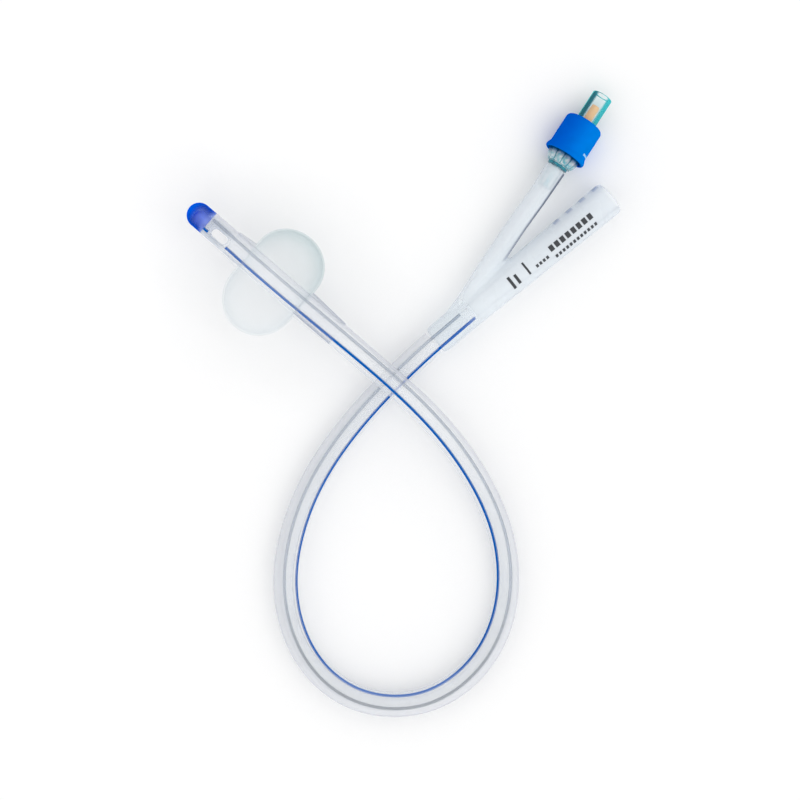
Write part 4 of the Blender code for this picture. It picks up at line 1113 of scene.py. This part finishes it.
def vent_slot(side):
    """A block that cuts a shallow slot into one side, just above the skirt."""
    block_height = 2 * MM
    bm = bmesh.new()
    bmesh.ops.create_cube(bm, size=1)
    bmesh.ops.scale(bm, vec=(block_height, SLOT_WIDTH, SLOT_LENGTH), verts=bm.verts)
    bmesh.ops.translate(bm, vec=(SLEEVE_R - SLOT_DEPTH + block_height / 2, 0, 0), verts=bm.verts)
    bm.transform(
        VALVE_AT @ Matrix.Translation((0, SKIRT_END + 0.5 * MM, 0)) @ Matrix.Scale(side, 4, (1, 0, 0))
        @ Matrix.Rotation(-SLOT_TURN * side, 4, "Y"))
    bmesh.ops.recalc_face_normals(bm, faces=bm.faces)
    return bm


bm = combine(turned(sleeve_outline(), 72, VALVE_AT), [vent_slot(1), vent_slot(-1)], "DIFFERENCE", "sleeve")
sleeve = as_object(
    "sleeve", to_mesh(bm, "sleeve"), [sleeve_plastic, painted_vent_highlight, painted_vent_highlight], replaces=["valve_sleeve"])
print("sleeve:", len(sleeve.data.polygons), "faces")

# %% [markdown]
# ## The plunger and its seal
#
# A syringe pushes the tan plunger in by 1.5 mm, which lifts its seal off the seat and lets water pass. A
# slot across its end keeps the way open under the syringe's tip. It is a spun outline with a block cut out
# of its end. Plunger and seal ride on the moving body, so they travel together.

# %% The plunger
STEM_R, HEAD_R, GUIDE_R = 1.39 * MM, 2.6 * MM, 0.9 * MM
CROSS_SLOT = Vector((4 * STEM_R, 2.0 * MM, 0.8 * MM))

outline = [
    (GUIDE_END, 0), (GUIDE_END, GUIDE_R - 0.2 * MM), (GUIDE_END + 0.2 * MM, GUIDE_R), (HEAD_BACK, GUIDE_R),
    (HEAD_BACK, HEAD_R), (HEAD_TOP, HEAD_R), (HEAD_TOP, STEM_R),
    *rounded_end(PLUNGER_TOP, STEM_R, 0.2 * MM, 3), (PLUNGER_TOP, 0)]
cross_slot = bmesh.new()
bmesh.ops.create_cube(cross_slot, size=1)
bmesh.ops.scale(cross_slot, vec=CROSS_SLOT, verts=cross_slot.verts)
bmesh.ops.translate(cross_slot, vec=(0, PLUNGER_TOP, 0), verts=cross_slot.verts)
cross_slot.transform(VALVE_AT)
bm = combine(turned(outline, 36, VALVE_AT), [cross_slot], "DIFFERENCE", "plunger")
plunger = as_object(
    "plunger_stem", to_mesh(bm, "plunger_stem"), [tan_plastic, tan_plastic], "plunger", ["valve_plunger"])
print("plunger:", len(plunger.data.polygons), "faces")

# %% The seal
SEAL_HOLE_R, SEAL_R = 1.69 * MM, 2.8 * MM
SEAL_BEVEL = 0.3 * MM

# Moulded seal rubber: off-white and matt
seal_rubber, tree, where, surface = pigmented("moulded white seal rubber", "D8D4CC", rough=0.5, gloss=0.3)
node(tree, "OutputMaterial", Surface=surface)
outline = [
    (SEAL_BACK, SEAL_HOLE_R), (SEAL_BACK, SEAL_R), (SEAL_TOP - SEAL_BEVEL, SEAL_R),
    (SEAL_TOP, SEAL_R - SEAL_BEVEL), (SEAL_TOP, SEAL_HOLE_R)]
seal = as_object(
    "plunger_seal", to_mesh(turned(outline, 40, VALVE_AT), "plunger_seal"), seal_rubber, "plunger",
    ["valve_seal"])
print("seal:", len(seal.data.polygons), "faces")

# %% [markdown]
# ## The spring
#
# A coil of stainless wire pushes the plunger back. The wire is a round section swept along a helix.

# %% Drawn wire and its coil
WIRE_R, COIL_R, COILS, STEPS = 0.2 * MM, 2.1 * MM, 5, 24

# Stainless wire drawn through a die: bright grey metal with scratches about 0.05 mm wide
spring_steel, tree, where = new_material("drawn stainless wire")
scratches = patchy(tree, where, 0.05 * MM, 0.2, 0.35, detail=2.0)
steel = node(tree, "BsdfPrincipled", Base_Color="B8B8BC", Metallic=1.0, Roughness=scratches)
node(tree, "OutputMaterial", Surface=steel)

low, high = SPRING_FLOOR + 0.5 * MM, HEAD_BACK - 0.5 * MM
coil = []
for i in range(COILS * STEPS + 1):
    turn = 2 * pi * i / STEPS
    up = low + (high - low) * i / (COILS * STEPS)
    coil.append(tuple(VALVE_AT @ Vector((COIL_R * cos(turn), up, COIL_R * sin(turn)))))
spring = as_object(
    "spring", to_mesh(swept(coil, circle(WIRE_R, 10)), "spring"), spring_steel, body=None,
    replaces=["valve_spring"])
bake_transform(spring)
print("spring:", COILS, "coils,", len(spring.data.polygons), "faces")

# %% [markdown]
# ## The print on the funnel
#
# The funnel is pad-printed in black: a soft pad picks the ink up and rolls it onto the curved wall. Plain
# bars stand for the print. Each is a flat grid laid over its place and dropped onto the funnel's wall, a
# hair above it.

# %% Ink
# Pad-printed ink: thin and dull, with specks of about 0.15 mm where it covers less
black_ink, tree, where = new_material("pad-printed black ink")
speckle = patchy(tree, where, 0.15 * MM, 0.0, 0.35)
colour = node(tree, "Mix", 2, COLOUR_MIX, Factor=speckle, i6="1E2026", i7="45484F")
node(tree, "OutputMaterial", Surface=node(tree, "BsdfPrincipled", Base_Color=colour, Roughness=0.5))
print("made", black_ink.name)

# %% The bars
INK = 0.03 * MM

# Middle x and y, width across the funnel and length along it, in millimetres
bars = [(-5.0 + 0.2 * k, 34.4 + 2.2 * k, 4.4 - k, 1.0) for k in range(2)]
bars += [(-5.5, 51.2 + 2.25 * k, 2.0, 1.6) for k in range(8)]
bars += [(-2.5, 51.2 + 1.45 * k, 1.0, 0.9) for k in range(12)]
bars += [(-4.0, 44.2 + 1.4 * k, 1.0, 0.9) for k in range(4)]
bars.append((-5.6, 40.9, 4.6, 0.7))

ink = bmesh.new()
for x, y, width, length in bars:
    over = Matrix.Translation((x * MM, y * MM, 0)) @ Matrix.Diagonal((width * MM, length * MM, 1, 1))
    bmesh.ops.create_grid(
        ink, x_segments=max(2, int(width / 0.4)), y_segments=max(1, int(length / 2)), size=0.5, matrix=over)
for vert in ink.verts:
    wall_r = np.interp(vert.co.y - COLLAR_Y, (COLLAR_LENGTH, FUNNEL_LENGTH), (COLLAR_R, MOUTH_R)) + INK
    vert.co.z = FUNNEL_Z + (wall_r ** 2 - (vert.co.x - FUNNEL_X) ** 2) ** 0.5
marks = as_object("print_marks", to_mesh(ink, "print_marks"), black_ink)
print("print:", len(bars), "bars,", len(marks.data.polygons), "faces")

# %% [markdown]
# ## The tube's length
#
# The tube is soft and lies free, like a cord. Its length is printed here.

print(f"cord of {shaft_length / MM:.1f} mm")

# %% [markdown]
# ## The table
#
# The photograph has a white ground with a wide, soft grey halo round the object, which the clear pieces
# cast as much as the blue ones. Light alone leaves too little of it under clear rubber. So a painted shadow
# makes the laminate a little greyer where an ambient occlusion node finds the object near. A trace of light
# of its own lifts the ground to white for the eye and for reflections, and leaves the shadows in.

# %% Floor


def seen_or_mirrored(tree):
    """1 for a ray from the camera, off a gloss or through glass, which all show the white background."""
    rays = node(tree, "LightPath").node.outputs
    shiny = node(
        tree, "Math", 0, {"operation": "MAXIMUM"}, i0=rays["Is Glossy Ray"], i1=rays["Is Transmission Ray"])
    return node(tree, "Math", 0, {"operation": "MAXIMUM"}, i0=rays["Is Camera Ray"], i1=shiny)


HALO_REACH, TRACE = 30 * MM, 0.03

# Matt white laminate: neutral, with next to no reflections
floor_material, tree, where = new_material("white table laminate")
# Painted shadow: greyer where the object is near
open_sky = node(tree, "AmbientOcclusion", "AO", {"samples": 4}, Distance=HALO_REACH)
shade = node(tree, "MapRange", Value=open_sky, From_Min=0.75, From_Max=1.0, To_Min=1.0, To_Max=0.0)
colour = node(tree, "Mix", 2, COLOUR_MIX, Factor=shade, i6="FCFCFC", i7="F4F4F4")
laminate = node(tree, "BsdfPrincipled", Base_Color=colour, Roughness=0.7, Specular_IOR_Level=0.1)
lift = node(
    tree, "MixShader", i0=seen_or_mirrored(tree), i1=node(tree, "Emission", Strength=0.0),
    i2=node(tree, "Emission", Color="FFFFFF", Strength=TRACE))
node(tree, "OutputMaterial", Surface=node(tree, "AddShader", i0=laminate, i1=lift))

bm = bmesh.new()
bmesh.ops.create_grid(bm, x_segments=8, y_segments=8, size=2.0)
floor = as_object("floor", to_mesh(bm, "floor"), floor_material, body=None)
print("floor", [round(v, 1) for v in floor.dimensions[:2]], "m")

# %% [markdown]
# ## The light
#
# The photograph was taken under a white tent: light from all round, a little less from the sides, and one
# large soft window high on the right. The world is the tent. The window is a sun lamp with a very wide
# angle, so its shadows have no edge. What looks past the table sees plain white.

# %% Tent and window
TENT_STRENGTH, WINDOW_STRENGTH = 0.835, 0.75

world = bpy.data.worlds.new("light tent")
bpy.context.scene.world = world
world.use_nodes = True
tree = world.node_tree
tree.nodes.clear()
direction = node(tree, "TexCoord", "Generated")
height = node(tree, "SeparateXYZ", "Z", Vector=direction)
wall_to_roof = node(tree, "ValToRGB", Fac=height)
sides, roof = wall_to_roof.node.color_ramp.elements
sides.position, sides.color = 0.0, (0.865, 0.865, 0.865, 1)
roof.position, roof.color = 0.75, (1.0, 1.0, 1.0, 1)
tent = node(tree, "Background", Color=wall_to_roof, Strength=TENT_STRENGTH)
white = node(tree, "Background", Color="FFFFFF", Strength=1.0)
node(tree, "OutputWorld", Surface=node(tree, "MixShader", i0=seen_or_mirrored(tree), i1=tent, i2=white))

sun = bpy.data.lights.new("key window", "SUN")
sun.energy, sun.angle = WINDOW_STRENGTH, radians(60)
lamp = bpy.data.objects.new("key window", sun)
bpy.context.scene.collection.objects.link(lamp)
lamp.rotation_euler = Vector((0.8, -0.02, 1.3)).to_track_quat("Z", "Y").to_euler()
print("window", WINDOW_STRENGTH, "and tent", TENT_STRENGTH)

# %% [markdown]
# ## The camera
#
# The photograph looks straight down from about 620 mm. That height was found from pieces of known size at
# different heights, which it draws at different scales. The lens is then worked out so that the frame's
# width takes in 258 mm at 4 mm above the table.

# %% Camera and view
CAMERA_HEIGHT, SCALE_HEIGHT, FRAME_WIDTH = 620 * MM, 4 * MM, 258.06 * MM

camera_data = bpy.data.cameras.new("camera")
camera_data.sensor_width = 36
camera_data.lens = 36 * (CAMERA_HEIGHT - SCALE_HEIGHT) / FRAME_WIDTH
camera_data.clip_start, camera_data.clip_end = 0.01, 20
camera = bpy.data.objects.new("camera", camera_data)
bpy.context.scene.collection.objects.link(camera)
camera.location = (1.15 * MM, -16.9 * MM, CAMERA_HEIGHT)
camera.rotation_euler = (0, 0, radians(50.5))
scene = bpy.context.scene
scene.camera = camera
scene.view_settings.view_transform = "Standard"
# Light crosses many clear walls, so it may pass more of them than usual
scene.cycles.transparent_max_bounces = 32
scene.cycles.diffuse_bounces = 8
scene.cycles.max_bounces = 16
print(f"lens {camera_data.lens:.1f} mm")
